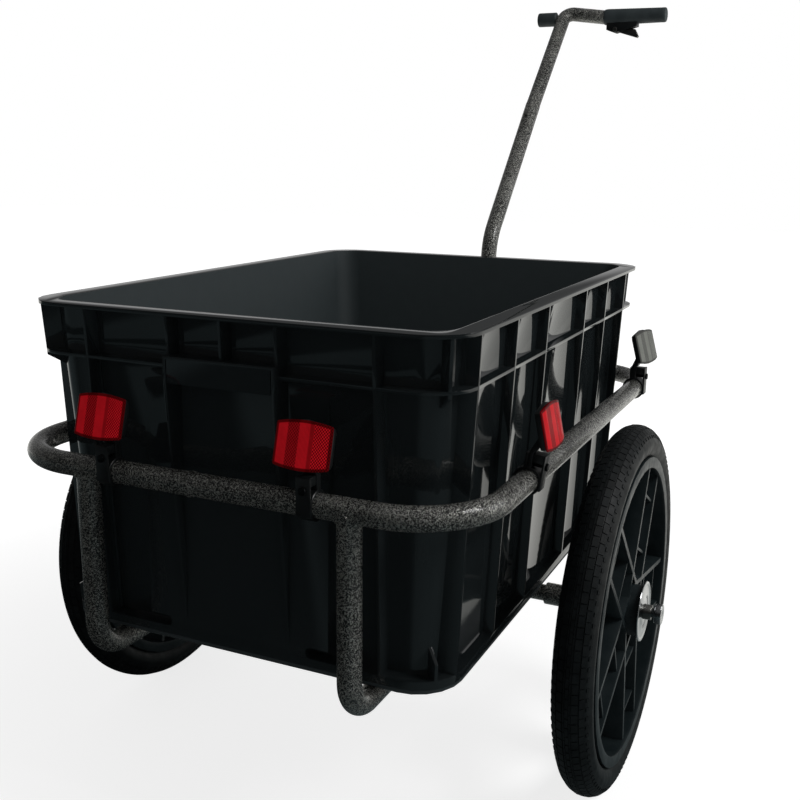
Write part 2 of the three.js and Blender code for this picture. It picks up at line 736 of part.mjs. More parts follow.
const upperStart = jointPoint.clone().addScaledVector(slopeDir, gap);
const crown = jointPoint.clone().add(v3(crownX, crownAhead, crownAbove));
const gripY = crown.y - gripBack;
const gripZ = crown.z - gripBelow;
const upperBar = tube([upperStart, crown, v3(gripIn, gripY, gripZ), v3(gripBarEnd, gripY, gripZ)],
  [crownBend, crownBend], tubeRadius - gap);
const spigot = bar(jointPoint.clone().addScaledVector(slopeDir, -spigotLong), slopeDir,
  spigotLong + overrun, spigotRadius, tubeSides);
const stub = bar(v3(0, gripY, gripZ), axisX.clone().negate(), -stubEnd, stubRadius, tubeSides);
const neckDown = turned([[gripBore, 0], [gripBore + overrun, 0], [gripBore + overrun, gripBarEnd],
  [gripBore, gripBarEnd], [gripBore, 0]], v3(gripIn - gap, gripY, gripZ), axisX, boreSides);
addPart("drawbar_upper", paintGrey, fuse([upperBar, spigot, stub]).subtract(boltHole).subtract(neckDown));

// Joint bolt and nut through the overlapping tubes
const boltFrom = boltPoint.clone().addScaledVector(slopeUp, boltDepth + boltHeadThick);
const shankLong = 2 * boltDepth + nutThick;
addPart("joint_bolt", zincGrey, turned([[0, 0], [boltHeadRadius - boltHeadThick / 2, 0],
  [boltHeadRadius, boltHeadThick / 2], [boltHeadRadius, boltHeadThick], [boltRadius, boltHeadThick],
  [boltRadius, boltHeadThick + shankLong], [0, boltHeadThick + shankLong]],
boltFrom, slopeUp.clone().negate(), tubeSides));
addPart("joint_nut", zincGrey,
  nut(boltPoint.clone().addScaledVector(slopeUp, -boltDepth), slopeUp.clone().negate()));

// Grips: long one on the right with a neck at its inner end, short one on the left stub
addPart("grip_right", gripSlate, turned([[gripBore + gap, 0], [gripInnerRadius - edgeRound, 0],
  [gripInnerRadius, neckClamp], [gripInnerRadius, 2 * neckClamp], [gripOuterRadius, gripOut - gripIn - edgeRound],
  [gripOuterRadius - edgeRound, gripOut - gripIn], [0, gripOut - gripIn],
  [0, gripBarEnd - gripIn + gap], [gripBore + gap, gripBarEnd - gripIn + gap], [gripBore + gap, 0]],
v3(gripIn, gripY, gripZ), axisX, boreSides));
addPart("grip_left", gripSlate, turned([[stubRadius + gap, 0], [leftGripRadius, 0],
  [leftGripRadius, leftGripIn - leftGripOut - edgeRound],
  [leftGripRadius - edgeRound, leftGripIn - leftGripOut],
  [0, leftGripIn - leftGripOut], [0, leftGripIn - stubEnd + gap],
  [stubRadius + gap, leftGripIn - stubEnd + gap], [stubRadius + gap, 0]],
v3(leftGripIn, gripY, gripZ), axisX.clone().negate(), tubeSides));

// Coupling: open channel bracket under the right grip with a sprung latch lever
const latchTop = gripZ - latchRoof;
const latchLow = latchTop - latchTall;
const latchTip = latchLow - latchReach;
const leverPivotZ = latchLow + pivotRise;
const gripCut = bar(v3(gripIn - overrun, gripY, gripZ), axisX, gripOut - gripIn + 2 * overrun,
  gripInnerRadius + gap, boreSides);
const bracketOutline = [[latchIn, latchTop + overrun], [latchIn, leverPivotZ], [leverPivotX, latchLow],
  [latchOut, latchTop - latchSkin], [latchOut, latchTop + overrun]];
const bracketBody = plateXZ(bracketOutline, gripY - latchHalf, gripY + latchHalf);
const bracketSlot = block(latchIn + latchSkin, latchOut + overrun, gripY - latchHalf + latchSkin,
  gripY + latchHalf - latchSkin, latchLow - overrun, latchTop - latchSkin);
const leverHole = bar(v3(leverPivotX, gripY - latchHalf - overrun, leverPivotZ), axisY,
  2 * (latchHalf + overrun), leverPinRadius + gap, tubeSides);
addPart("coupling_bracket", plasticBlack,
  bracketBody.subtract(fuse([gripCut, bracketSlot, leverHole])));
const leverHalf = latchHalf - latchSkin - gap;
const leverOutline = [[leverPivotX - leverHead, leverPivotZ - leverHead],
  [leverPivotX + leverHead, leverPivotZ - leverHead], [latchOut, latchTip],
  [latchOut + leverThick, latchTip + leverThick], [latchOut - leverHead, leverPivotZ],
  [leverPivotX + leverHead, leverPivotZ + leverHead - gap],
  [leverPivotX - leverHead, leverPivotZ + leverHead - gap]];
addPart("latch_lever", zincGrey,
  plateXZ(leverOutline, gripY - leverHalf, gripY + leverHalf).subtract(leverHole));
addPart("latch_pin", zincGrey, turned([[0, 0], [leverHead, 0], [leverHead, leverThick],
  [leverPinRadius, leverThick], [leverPinRadius, leverThick + 2 * (latchHalf + gap)],
  [leverHead - gap, leverThick + 2 * (latchHalf + gap)],
  [leverHead - gap, 2 * (leverThick + latchHalf + gap)], [0, 2 * (leverThick + latchHalf + gap)]],
v3(leverPivotX, gripY - latchHalf - gap - leverThick, leverPivotZ), axisY, tubeSides));

// Saddle block between the ring and the drawbar, with its bolt and nut
const barCut = bar(v3(0, barFront, ringHeight - 2 * saddleTall), axisZ, 4 * saddleTall,
  tubeRadius + gap, boreSides);
const saddleBlock = block(-saddleHalf, saddleHalf, ringFront + saddleHalf / 2, barFront - saddleHalf / 2,
  ringHeight - saddleTall, ringHeight + saddleTall);
addPart("ring_saddle", plasticBlack, saddleBlock.subtract(fuse([ringCut, barCut, saddleHole])));
const saddleShank = saddleBoltHigh - saddleBoltLow + nutThick;
addPart("saddle_bolt", zincGrey, turned([[0, 0], [saddleHeadRadius, 0],
  [saddleHeadRadius, saddleHeadThick], [boltRadius, saddleHeadThick],
  [boltRadius, saddleHeadThick + saddleShank], [0, saddleHeadThick + saddleShank]],
v3(0, saddleBoltHigh + saddleHeadThick, ringHeight), axisY.clone().negate(), tubeSides));
addPart("saddle_nut", zincGrey, nut(v3(0, saddleBoltLow, ringHeight), axisY.clone().negate()));

// Folding stand: leg on a cross pin between the ears, with a rubber foot on the ground
const groundZ = axleZ - wheelRadius;
const legEnd = groundZ + footFloor + gap;
const leg = bar(v3(0, standY, legEnd), axisZ, standZ - legEnd, standRadius, tubeSides);
const legHead = bar(v3(-standRadius, standY, standZ), axisX, 2 * standRadius, standRadius, tubeSides);
addPart("stand_leg", paintGrey, leg.add(legHead).subtract(standHole));
addPart("stand_foot", rubberBlack, turned([[0, 0], [footRadius, 0], [footRadius, footFloor],
  [standRadius + edgeRound + gap, footTall], [standRadius + gap, footTall], [standRadius + gap, footFloor],
  [0, footFloor]], v3(0, standY, groundZ), axisZ, tubeSides));
const standPinAt = standX + standEar + gap;
addPart("stand_pin", zincGrey, turned([[0, -standPinAt - standHeadThick],
  [standHeadRadius, -standPinAt - standHeadThick], [standHeadRadius, -standPinAt],
  [standPinRadius, -standPinAt], [standPinRadius, standPinAt], [standHeadRadius, standPinAt],
  [standHeadRadius, standPinAt + standHeadThick], [0, standPinAt + standHeadThick]],
v3(0, standY, standZ), axisX, tubeSides));

// Reflector set: strap clamp round the tube, tray on a tab, lens and screw
function reflector(name, lensColor, place, heading, tilt, lean, turn) {
  const clamp = new THREE.Group();
  clamp.position.copy(place);
  clamp.rotation.set(rad(tilt), 0, rad(heading), "ZXY");
  trailer.add(clamp);
  const inner = tubeRadius + gap;
  const outer = inner + strapThick;
  const middle = axisX.clone().multiplyScalar(-strapHalf);
  const band = turned([[inner, 0], [outer, 0], [outer, 2 * strapHalf], [inner, 2 * strapHalf], [inner, 0]],
    middle, axisX, strapSides);
  const screwBack = earGap + strapThick;
  const boss = block(-earHalfX, earHalfX, -outer, screwBack, 0, earTop);
  const slotCut = block(-strapHalf - gap, strapHalf + gap, -webThick / 2 - gap, webThick / 2 + gap,
    0, earTop + gap);
  const core = bar(middle.clone().addScaledVector(axisX, -gap), axisX, 2 * (strapHalf + gap), inner,
    strapSides);
  const screwFront = outer + gap;
  const screwHole = bar(v3(0, -screwFront - overrun, screwHeight), axisY,
    screwFront + screwBack + 2 * overrun, screwRadius + gap, screwSides);
  addPart(`${name}_strap`, plasticBlack, band.add(boss).subtract(fuse([core, slotCut, screwHole])), clamp);
  const screwLong = screwHeadThick + screwFront + screwBack;
  addPart(`${name}_screw`, zincGrey, turned([[0, 0], [screwHead, 0], [screwHead, screwHeadThick],
    [screwRadius, screwHeadThick], [screwRadius, screwLong], [0, screwLong]],
  v3(0, -screwFront - screwHeadThick, screwHeight), axisY, screwSides), clamp);

  // Tray and lens, leaning and turned about the top of the tab
  const trayBack = -lensFace + lensThick + trayThick;
  const swing = new THREE.Matrix4().makeRotationZ(rad(turn));
  swing.multiply(new THREE.Matrix4().makeTranslation(0, 0, trayCentre));
  swing.multiply(new THREE.Matrix4().makeRotationX(-rad(lean)));
  const onTray = (y, z) => [y * Math.cos(rad(lean)) + z * Math.sin(rad(lean)),
    z * Math.cos(rad(lean)) - y * Math.sin(rad(lean)) + trayCentre];
  const pillow = (inset, y0, y1) => {
    const halfX = lensWide / 2 - inset;
    const halfZ = lensTall / 2 - inset;
    const shape = new THREE.Shape();
    shape.moveTo(-halfX + lensCorner, -halfZ);
    shape.quadraticCurveTo(0, -halfZ - lensBulge, halfX - lensCorner, -halfZ);
    shape.quadraticCurveTo(halfX, -halfZ, halfX, -halfZ + lensCorner);
    shape.lineTo(halfX, halfZ - lensCorner);
    shape.quadraticCurveTo(halfX, halfZ, halfX - lensCorner, halfZ);
    shape.quadraticCurveTo(0, halfZ + lensBulge, -halfX + lensCorner, halfZ);
    shape.quadraticCurveTo(-halfX, halfZ, -halfX, halfZ - lensCorner);
    shape.lineTo(-halfX, -halfZ + lensCorner);
    shape.quadraticCurveTo(-halfX, -halfZ, -halfX + lensCorner, -halfZ);
    const geometry = new THREE.ExtrudeGeometry(shape, { depth: y1 - y0, bevelEnabled: false, curveSegments: 2 });
    geometry.applyMatrix4(new THREE.Matrix4().makeBasis(axisX, axisZ, axisY.clone().negate()));
    geometry.translate(0, y1, 0);
    geometry.applyMatrix4(swing);
    return toSolid(geometry);
  };
  const faceY = -lensFace;
  const seatY = faceY + lensThick;
  const tray = pillow(0, faceY + lensStep + gap, trayBack);
  const recess = pillow(lensLedge - gap, faceY, seatY);
  const tab = block(-earHalfX, earHalfX, -webThick / 2, webThick / 2, inner + gap, earTop + gap);
  const armY = (seatY + trayBack) / 2;
  const armOutline = [[-webThick / 2, earTop], [webThick / 2, earTop], [webThick / 2, earTop + edgeRound],
    onTray(armY, 0), onTray(armY, -lensTall * armFootShare)];
  const arm = plateYZ([...armOutline].reverse(), -earHalfX, earHalfX);
  const armTurned = turn === 0 ? arm : arm.add(arm.rotate([0, 0, turn]));
  const body = fuse([tray, tab, armTurned]).subtract(fuse([recess, screwHole, core]));
  addPart(`${name}_tray`, plasticBlack, body, clamp);
  const lens = pillow(0, faceY, faceY + lensStep).add(pillow(lensLedge, faceY + lensStep / 2, seatY - gap));
  addPart(`${name}_lens`, lensColor, lens, clamp);
}

const quarterTurn = 90;
const frontReflectorY = ringFront - ringBend - frontBendClear;
const rearInsets = [rearLeftInset, rearRightInset];
[[-1, "left"], [1, "right"]].forEach(([side, word], i) => {
  reflector(`rear_reflector_${word}`, lensRed, v3(side * (cradleHalf - rearInsets[i]), ringRear, ringHeight),
    0, 0, clampLean, 0);
  reflector(`side_reflector_${word}`, lensRed, v3(side * ringHalf, sideReflectorY, ringHeight),
    side * quarterTurn, sideTilt, sideLean, 0);
  reflector(`front_reflector_${word}`, lensClear, v3(side * ringHalf, frontReflectorY, ringHeight),
    side * quarterTurn, 0, clampLean, -side * frontTurn);
});

// Origin at the middle of the overall footprint, on the ground
const bounds = new THREE.Box3().setFromObject(trailer);
const middlePoint = bounds.getCenter(v3(0, 0, 0));
trailer.position.set(-middlePoint.x, -middlePoint.y, -bounds.min.z);
trailer.updateMatrixWorld(true);

export default trailer;
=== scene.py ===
import json
import math

import bmesh
import bpy
from mathutils import Matrix, Vector


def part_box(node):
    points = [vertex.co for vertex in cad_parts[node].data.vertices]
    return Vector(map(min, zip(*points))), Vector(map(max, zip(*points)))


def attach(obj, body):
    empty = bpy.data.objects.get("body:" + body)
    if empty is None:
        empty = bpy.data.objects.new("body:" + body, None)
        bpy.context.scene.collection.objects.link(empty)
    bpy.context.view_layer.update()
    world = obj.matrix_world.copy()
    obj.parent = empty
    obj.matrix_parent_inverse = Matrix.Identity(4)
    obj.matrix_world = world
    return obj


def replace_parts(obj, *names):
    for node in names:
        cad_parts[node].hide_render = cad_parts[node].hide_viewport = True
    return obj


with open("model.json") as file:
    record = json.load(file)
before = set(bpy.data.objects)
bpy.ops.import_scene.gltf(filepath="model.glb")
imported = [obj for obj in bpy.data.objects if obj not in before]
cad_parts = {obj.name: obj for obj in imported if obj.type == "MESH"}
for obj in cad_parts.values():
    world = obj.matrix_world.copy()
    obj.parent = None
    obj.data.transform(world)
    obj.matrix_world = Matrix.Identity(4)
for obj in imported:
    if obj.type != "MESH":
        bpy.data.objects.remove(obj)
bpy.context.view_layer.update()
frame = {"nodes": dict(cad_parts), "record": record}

nodes = frame["nodes"]
bodies = frame["record"]["behaviour"]["bodies"]
slots = {part["node"]: part["material_slot"] for part in frame["record"]["subparts"]}

# Places below are in millimetres from the middle of the tub's underside, which stands at SHIFT in the frame
MM = 0.001
AXLE_Y, AXLE_Z = -15.0, -9.3
tyre_low, tyre_high = (Vector(corner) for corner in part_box("tyre_right"))
tyre_y, tyre_z = (tyre_low.y + tyre_high.y) / 2, (tyre_low.z + tyre_high.z) / 2
SHIFT = Vector((0.0, tyre_y - AXLE_Y * MM, tyre_z - AXLE_Z * MM))
X_AXIS, Z_AXIS = Vector((1, 0, 0)), Vector((0, 0, 1))
SIDES = ((-1, "left"), (1, "right"))


def place(x, y, z):
    """Point of the shared frame for a place in millimetres about the tub."""
    return Vector((x, y, z)) * MM + SHIFT


# Nodes written as expressions
class Flow:
    """One output socket of a tree, with arithmetic that adds nodes. Without a socket it starts a tree."""

    def __init__(self, tree, socket=None):
        self.tree = tree
        self.socket = socket

    def node(self, kind, out=0, settings=None, **inputs):
        """Adds a node, sets it, fills its inputs from values or flows, and gives one of its outputs.

        An input goes by its name with underscores, or by its number as in i0.
        """
        made = self.tree.nodes.new(kind)
        for key, value in (settings or {}).items():
            setattr(made, key, value)
        for key, value in inputs.items():
            name = key.replace("_", " ")
            numbered = name[0] == "i" and name[1:].isdigit()
            target = made.inputs[int(name[1:]) if numbered else name]
            if isinstance(value, Flow):
                self.tree.links.new(value.socket, target)
            else:
                target.default_value = value
        return Flow(self.tree, made.outputs[out])

    def also(self, key):
        """Another output of the same node."""
        return Flow(self.tree, self.socket.node.outputs[key])

    def split(self):
        """The three parts of a vector."""
        made = self.node("ShaderNodeSeparateXYZ", Vector=self)
        return [made.also(key) for key in range(3)]

    def stretched(self, *factors):
        """A place with each of its axes scaled."""
        return self.node("ShaderNodeMapping", Vector=self, Scale=factors)

    def _maths(self, operation, *values):
        inputs = {"i%d" % i: value for i, value in enumerate(values)}
        return self.node("ShaderNodeMath", settings={"operation": operation}, **inputs)

    def __add__(self, other):
        return self._maths("ADD", self, other)

    def __radd__(self, other):
        return self._maths("ADD", other, self)

    def __sub__(self, other):
        return self._maths("SUBTRACT", self, other)

    def __rsub__(self, other):
        return self._maths("SUBTRACT", other, self)

    def __mul__(self, other):
        return self._maths("MULTIPLY", self, other)

    def __rmul__(self, other):
        return self._maths("MULTIPLY", other, self)

    def __truediv__(self, other):
        return self._maths("DIVIDE", self, other)

    def __rtruediv__(self, other):
        return self._maths("DIVIDE", other, self)

    def sine(self):
        return self._maths("SINE", self)

    def most(self, other):
        return self._maths("MAXIMUM", self, other)

    def ramp(self, low, high, to_low=0.0, to_high=1.0):
        """Smooth change from to_low at low to to_high at high."""
        settings = {"interpolation_type": "SMOOTHSTEP", "clamp": True}
        return self.node("ShaderNodeMapRange", settings=settings, Value=self,
                         i1=low, i2=high, i3=to_low, i4=to_high)

    def between(self, low, high, low_blur, high_blur):
        """1 between two values and 0 outside them, changing over a blur inside each."""
        return self.ramp(low, low + low_blur) * self.ramp(high - high_blur, high, 1.0, 0.0)

    def blend_colors(self, low, high):
        """Colour between two, chosen by this value."""
        low, high = (color if isinstance(color, Flow) else (*color, 1.0) for color in (low, high))
        return self.node("ShaderNodeMix", 2, {"data_type": "RGBA"}, i0=self, i6=low, i7=high)


# Materials
class Finish:
    """A material whose varying inputs are driven by flows."""

    def __init__(self, name, **constants):
        self.material = bpy.data.materials.new(name)
        self.material.use_nodes = True
        self.tree = self.material.node_tree
        self.shader = self.tree.nodes["Principled BSDF"]
        for key, value in constants.items():
            self.shader.inputs[key.replace("_", " ")].default_value = value
        self.coords = Flow(self.tree).node("ShaderNodeTexCoord", "Object")
        self.facing = self.coords.also("Normal")

    def noise(self, scale, detail=3.0, roughness=0.5, distortion=0.0, spot=None):
        return self.coords.node("ShaderNodeTexNoise", Vector=spot or self.coords, Scale=scale, Detail=detail,
                                Roughness=roughness, Distortion=distortion)

    def drive(self, key, flow):
        self.tree.links.new(flow.socket, self.shader.inputs[key.replace("_", " ")])

    def bump(self, height, distance, strength):
        raised = height.node("ShaderNodeBump", Height=height, Distance=distance, Strength=strength)
        self.drive("Normal", raised)


# Height of the load floor, and the tub's and the frame's colours, darker and lighter
LOAD_FLOOR = 3.5
BLACK = (0.0, 0.0, 0.0)
GLOSS_COLORS = (0.0095, 0.0125, 0.0135), (0.015, 0.0182, 0.0192)
MATT_COLORS = (0.021, 0.031, 0.034), (0.029, 0.04, 0.043)
MATT_ROUGH = 0.72
PAINT_COLORS = (0.003, 0.0036, 0.0036), (0.44, 0.44, 0.405)


def tub_finish():
    """Moulded black plastic, glossy outside and matt on the inner walls and the load floor."""
    look = Finish("tub plastic", IOR=1.5)
    cloud = look.noise(7.0, 4.0)
    fine = look.noise(60.0, 5.0, 0.6)
    rubbed = look.noise(1.4, 5.0, 0.65, spot=look.coords.stretched(60.0, 60.0, 5.0)).ramp(0.56, 0.8)
    outward = look.facing.node("ShaderNodeVectorMath", "Value", {"operation": "DOT_PRODUCT"},
                               i0=look.facing, i1=look.coords.stretched(1.0, 1.0, 0.0))
    height = look.coords.split()[2] - (SHIFT.z + LOAD_FLOOR * MM)
    on_floor = height.between(-1.6 * MM, 2.9 * MM, MM, 2 * MM)
    inside = outward.ramp(-0.08, -0.04, 1.0, 0.0).most(on_floor)
    gloss = (cloud * 0.7 + rubbed * 0.3).blend_colors(*GLOSS_COLORS)
    look.drive("Base Color", inside.blend_colors(gloss, fine.blend_colors(*MATT_COLORS)))
    gloss_rough = fine.ramp(0.3, 0.7, 0.03, 0.05) + rubbed * 0.03
    look.drive("Roughness", gloss_rough * (1.0 - inside) + inside * MATT_ROUGH)
    look.bump(look.noise(600.0, 2.0) * 0.1 + look.noise(11.0, 1.5) * 0.9, 0.5 * MM, 0.1)
    return look.material


def paint_finish():
    """Hammered paint: silver worms in black under a clear coat."""
    look = Finish("hammered paint", IOR=1.5, Coat_Roughness=0.1)
    worms = look.noise(760.0, 2.0, 0.6, 1.1)
    cloud = look.noise(26.0, 4.0)
    silver = (worms + (cloud - 0.5) * 0.12).ramp(0.512, 0.575)
    look.drive("Base Color", silver.blend_colors(*PAINT_COLORS))
    look.drive("Metallic", silver * 0.8)
    look.drive("Roughness", silver.ramp(0.0, 1.0, 0.2, 0.4))
    look.drive("Coat Weight", cloud.ramp(0.35, 0.7, 0.3, 0.7))
    look.bump(worms.ramp(0.35, 0.65), 0.5 * MM, 0.75)
    return look.material


def dull_finish(name, dark, light, rough, grain=500.0, depth=0.2 * MM, shine=0.5):
    """Rubber or moulded plastic with a fine grain; rough holds the least and the most roughness."""
    look = Finish(name, Specular_IOR_Level=shine)
    look.drive("Base Color", look.noise(40.0, 5.0, 0.6).ramp(0.35, 0.7).blend_colors(dark, light))
    look.drive("Roughness", look.noise(90.0, 4.0).ramp(0.3, 0.7, *rough))
    look.bump(look.noise(grain, 3.0), depth, 0.5)
    return look.material


def metal_finish(name, dark, light, rough):
    """Brushed metal; rough holds the least and the most roughness."""
    look = Finish(name, Metallic=1.0)
    brushed = look.noise(3.0, 4.0, 0.7, spot=look.coords.stretched(400.0, 90.0, 90.0))
    look.drive("Base Color", look.noise(60.0, 4.0).ramp(0.3, 0.7).blend_colors(dark, light))
    look.drive("Roughness", brushed.ramp(0.3, 0.7, *rough))
    look.bump(brushed, 0.05 * MM, 0.3)
    return look.material


# Pattern of a lens, painted as light and shade on its red: zones in millimetres to the right of its middle,
# waves in radians per millimetre; the shade shares say how much darker the zones and the rim are painted
LEFT_ZONE, LEFT_SHADE = (-15.2, -3.6), 0.4
RIGHT_ZONE, RIGHT_SHADE = (5.6, 10.2), 0.45
ZONE_BLUR = 1.0
LINE_WAVE, DIAMOND_WAVE, DIAMOND_WAVE_UP = 5.4, 2.5, 2.2
RIM_OUTER, RIM_INNER, RIM_SHADE = 1.9, 3.0, 0.85


def lens_finish(name, deep, bright, glow):
    """Moulded reflector: zones of fine lines and of small diamonds, read from the lens's own places; its
    pattern is painted as shade, and it glows with painted light.
    """
    look = Finish(name, IOR=1.15, Specular_IOR_Level=0.12, Emission_Strength=glow)
    own = look.coords.node("ShaderNodeAttribute", "Vector", {"attribute_name": "lens_place"})
    across, rise, edge = own.split()
    left = across.between(*LEFT_ZONE, ZONE_BLUR, ZONE_BLUR)
    right = across.between(*RIGHT_ZONE, ZONE_BLUR, ZONE_BLUR)
    beyond = across.ramp(RIGHT_ZONE[1] - ZONE_BLUR, RIGHT_ZONE[1])
    lines = (across * LINE_WAVE).sine().ramp(-1.0, 1.0, 0.55, 0.9)
    crossed = (across * DIAMOND_WAVE).sine() * (rise * DIAMOND_WAVE_UP).sine()
    diamonds = crossed.ramp(-0.35, 0.35, 0.08, 1.0)
    in_diamonds = left.most(beyond)
    relief = lines * (1.0 - in_diamonds) + diamonds * in_diamonds
    cloud = look.noise(90.0, 3.0).ramp(0.3, 0.7, 0.85, 1.0)
    # Painted shade: the relief of lines and diamonds, the two zones and the rounded rim darken the red where
    # light falls less on the moulded prisms; the cloud is a random tone
    rim = edge.ramp(RIM_OUTER, RIM_INNER) * RIM_SHADE + (1.0 - RIM_SHADE)
    shade = relief * cloud * (1.0 - left * LEFT_SHADE) * (1.0 - right * RIGHT_SHADE) * rim
    look.drive("Base Color", shade.blend_colors(deep, bright))
    look.drive("Roughness", shade.ramp(0.2, 1.0, 0.16, 0.28))
    # Painted light: the lens glows in its own pattern though it is no lamp, standing in for the light its
    # prisms send back; glow sets its strength
    look.drive("Emission Color", shade.blend_colors(BLACK, bright))
    look.bump(relief, 0.3 * MM, 0.4)
    return look.material


finishes = {
    "tub_plastic": tub_finish(),
    "frame_paint": paint_finish(),
    "wheel_plastic": dull_finish("wheel plastic", (0.012, 0.018, 0.02), (0.018, 0.025, 0.027), (0.34, 0.44),
                                 grain=400.0, depth=0.12 * MM, shine=0.13),
    "tyre_rubber": dull_finish("tyre rubber", (0.0035, 0.0052, 0.0058), (0.0075, 0.0102, 0.011), (0.46, 0.6),
                               grain=700.0, shine=0.2),
    "grip_rubber": dull_finish("grip rubber", (0.03, 0.042, 0.046), (0.044, 0.058, 0.062), (0.5, 0.66),
                               grain=800.0),
    "foot_rubber": dull_finish("foot rubber", (0.01, 0.01, 0.01), (0.018, 0.018, 0.018), (0.6, 0.8)),
    "fitting_plastic": dull_finish("fitting plastic", (0.005, 0.0062, 0.0066), (0.01, 0.012, 0.0125),
                                   (0.3, 0.42), grain=400.0, depth=0.12 * MM),
    "zinc_steel": metal_finish("zinc steel", (0.1, 0.1, 0.094), (0.17, 0.17, 0.158), (0.28, 0.42)),
    "bright_chrome": metal_finish("bright chrome", (0.4, 0.41, 0.42), (0.55, 0.56, 0.57), (0.08, 0.16)),
    # The last number of each lens is the strength of its painted glow
    "red_lens": lens_finish("red lens", (0.04, 0.0008, 0.0016), (0.74, 0.011, 0.02), 0.19),
    "clear_lens": lens_finish("clear lens", (0.07, 0.07, 0.067), (0.3, 0.31, 0.28), 0.04),
}
blackened_steel = metal_finish("blackened steel", (0.012, 0.013, 0.014), (0.05, 0.052, 0.054), (0.3, 0.45))

# Ways of making a piece. Points closer than a gap in metres are merged, and angles are in degrees
POINT_GAP = 1e-7
CAD_POINT_GAP = 2e-6
FLAT_WITHIN = 0.6
BEVEL_MARGIN = 12.0


def beside(obj, node):
    """Gives a piece the finish of its CAD node's material slot, and puts it on that node's body."""
    obj.data.materials.clear()
    obj.data.materials.append(finishes[slots[node]])
    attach(obj, next(body for body, members in bodies.items() if node in members))
    return obj


def dress(obj, node):
    """The same for a piece that stands in for its node, which is then hidden."""
    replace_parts(beside(obj, node), node)
    return obj


def linked(name, data):
    """Object of a mesh, lamp or camera, standing at the origin."""
    obj = bpy.data.objects.new(name, data)
    bpy.context.scene.collection.objects.link(obj)
    return obj


def smooth(mesh, sharp):
    """Smooth shading, with edges sharper than an angle kept hard."""
    mesh.shade_smooth()
    mesh.set_sharp_from_angle(angle=math.radians(sharp))


def outward_piece(name, mesh, work, sharp):
    """Writes a worked shape into a mesh with its faces outwards, and links it."""
    bmesh.ops.recalc_face_normals(work, faces=work.faces)
    work.to_mesh(mesh)
    work.free()
    smooth(mesh, sharp)
    return linked(name, mesh)


def mesh_piece(name, points, faces, sharp=35.0, own_places=()):
    """Piece from points and faces; own_places are kept on a lens's points for its pattern."""
    mesh = bpy.data.meshes.new(name)
    mesh.from_pydata([tuple(point) for point in points], [], faces)
    if own_places:
        own = mesh.attributes.new("lens_place", "FLOAT_VECTOR", "POINT")
        own.data.foreach_set("vector", [value for spot in own_places for value in spot])
    work = bmesh.new()
    work.from_mesh(mesh)
    bmesh.ops.remove_doubles(work, verts=work.verts, dist=POINT_GAP)
    return outward_piece(name, mesh, work, sharp)


def settled(obj, sharp):
    """The piece as a plain mesh, its modifiers applied."""
    evaluated = obj.evaluated_get(bpy.context.evaluated_depsgraph_get())
    mesh = bpy.data.meshes.new_from_object(evaluated)
    obj.modifiers.clear()
    obj.data = mesh
    smooth(mesh, sharp)
    return obj


def rounded(node, name, width, segments=2, sharp=30.0, reshape=None):
    """Stands in for a CAD node with a copy of it whose edges are rounded; width is in millimetres."""
    work = bmesh.new()
    work.from_mesh(nodes[node].data)
    bmesh.ops.remove_doubles(work, verts=work.verts, dist=CAD_POINT_GAP)
    if reshape:
        reshape(work)
    bmesh.ops.dissolve_limit(work, angle_limit=math.radians(FLAT_WITHIN), verts=work.verts, edges=work.edges)
    mesh = bpy.data.meshes.new(name)
    work.to_mesh(mesh)
    work.free()
    obj = linked(name, mesh)
    edge = obj.modifiers.new("edge", "BEVEL")
    edge.width = width * MM
    edge.segments = segments
    edge.limit_method = "ANGLE"
    edge.angle_limit = math.radians(sharp)
    edge.harden_normals = False
    return dress(settled(obj, sharp + BEVEL_MARGIN), node)


def lathe(name, outline, centre, axis, sides=96, sharp=35.0):
    """Turned piece. The outline holds radius and distance along the axis, closed or from axis to axis."""
    axis = Vector(axis).normalized()
    side = axis.orthogonal().normalized()
    other = axis.cross(side)
    points, faces = [], []
    for i in range(sides):
        angle = 2 * math.pi * i / sides
        spoke = side * math.cos(angle) + other * math.sin(angle)
        points += [centre + (spoke * radius + axis * along) * MM for radius, along in outline]
    count = len(outline)
    for i in range(sides):
        following = (i + 1) % sides
        for k in range(count - 1):
            a, b = i * count + k, i * count + k + 1
            c, d = following * count + k + 1, following * count + k
            if outline[k][0] == 0:
                faces.append((a, b, c))
            elif outline[k + 1][0] == 0:
                faces.append((a, b, d))
            else:
                faces.append((a, b, c, d))
    return mesh_piece(name, points, faces, sharp)


def route(corners, radii, spacing=20.0, bend_steps=18):
    """Stations and headings along straight runs joined by arcs."""
    corners = [Vector(corner) for corner in corners]
    stations, headings = [corners[0]], [(corners[1] - corners[0]).normalized()]

    def run_to(point):
        start = stations[-1].copy()
        count = max(1, int((point - start).length / spacing))
        for step in range(1, count + 1):
            stations.append(start.lerp(point, step / count))
            headings.append(headings[-1].copy())

    for before, corner, after, radius in zip(corners, corners[1:], corners[2:], radii):
        inward = (corner - before).normalized()
        outward = (after - corner).normalized()
        swing = inward.angle(outward)
        start = corner - inward * (radius * math.tan(swing / 2))
        to_centre = (outward - inward * outward.dot(inward)).normalized()
        run_to(start)
        steps = max(3, round(bend_steps * swing / (math.pi / 2)))
        for step in range(1, steps + 1):
            angle = swing * step / steps
            stations.append(start + inward * (radius * math.sin(angle))
                            + to_centre * (radius * (1 - math.cos(angle))))
            headings.append(inward * math.cos(angle) + to_centre * math.sin(angle))
    run_to(corners[-1])
    return stations, headings


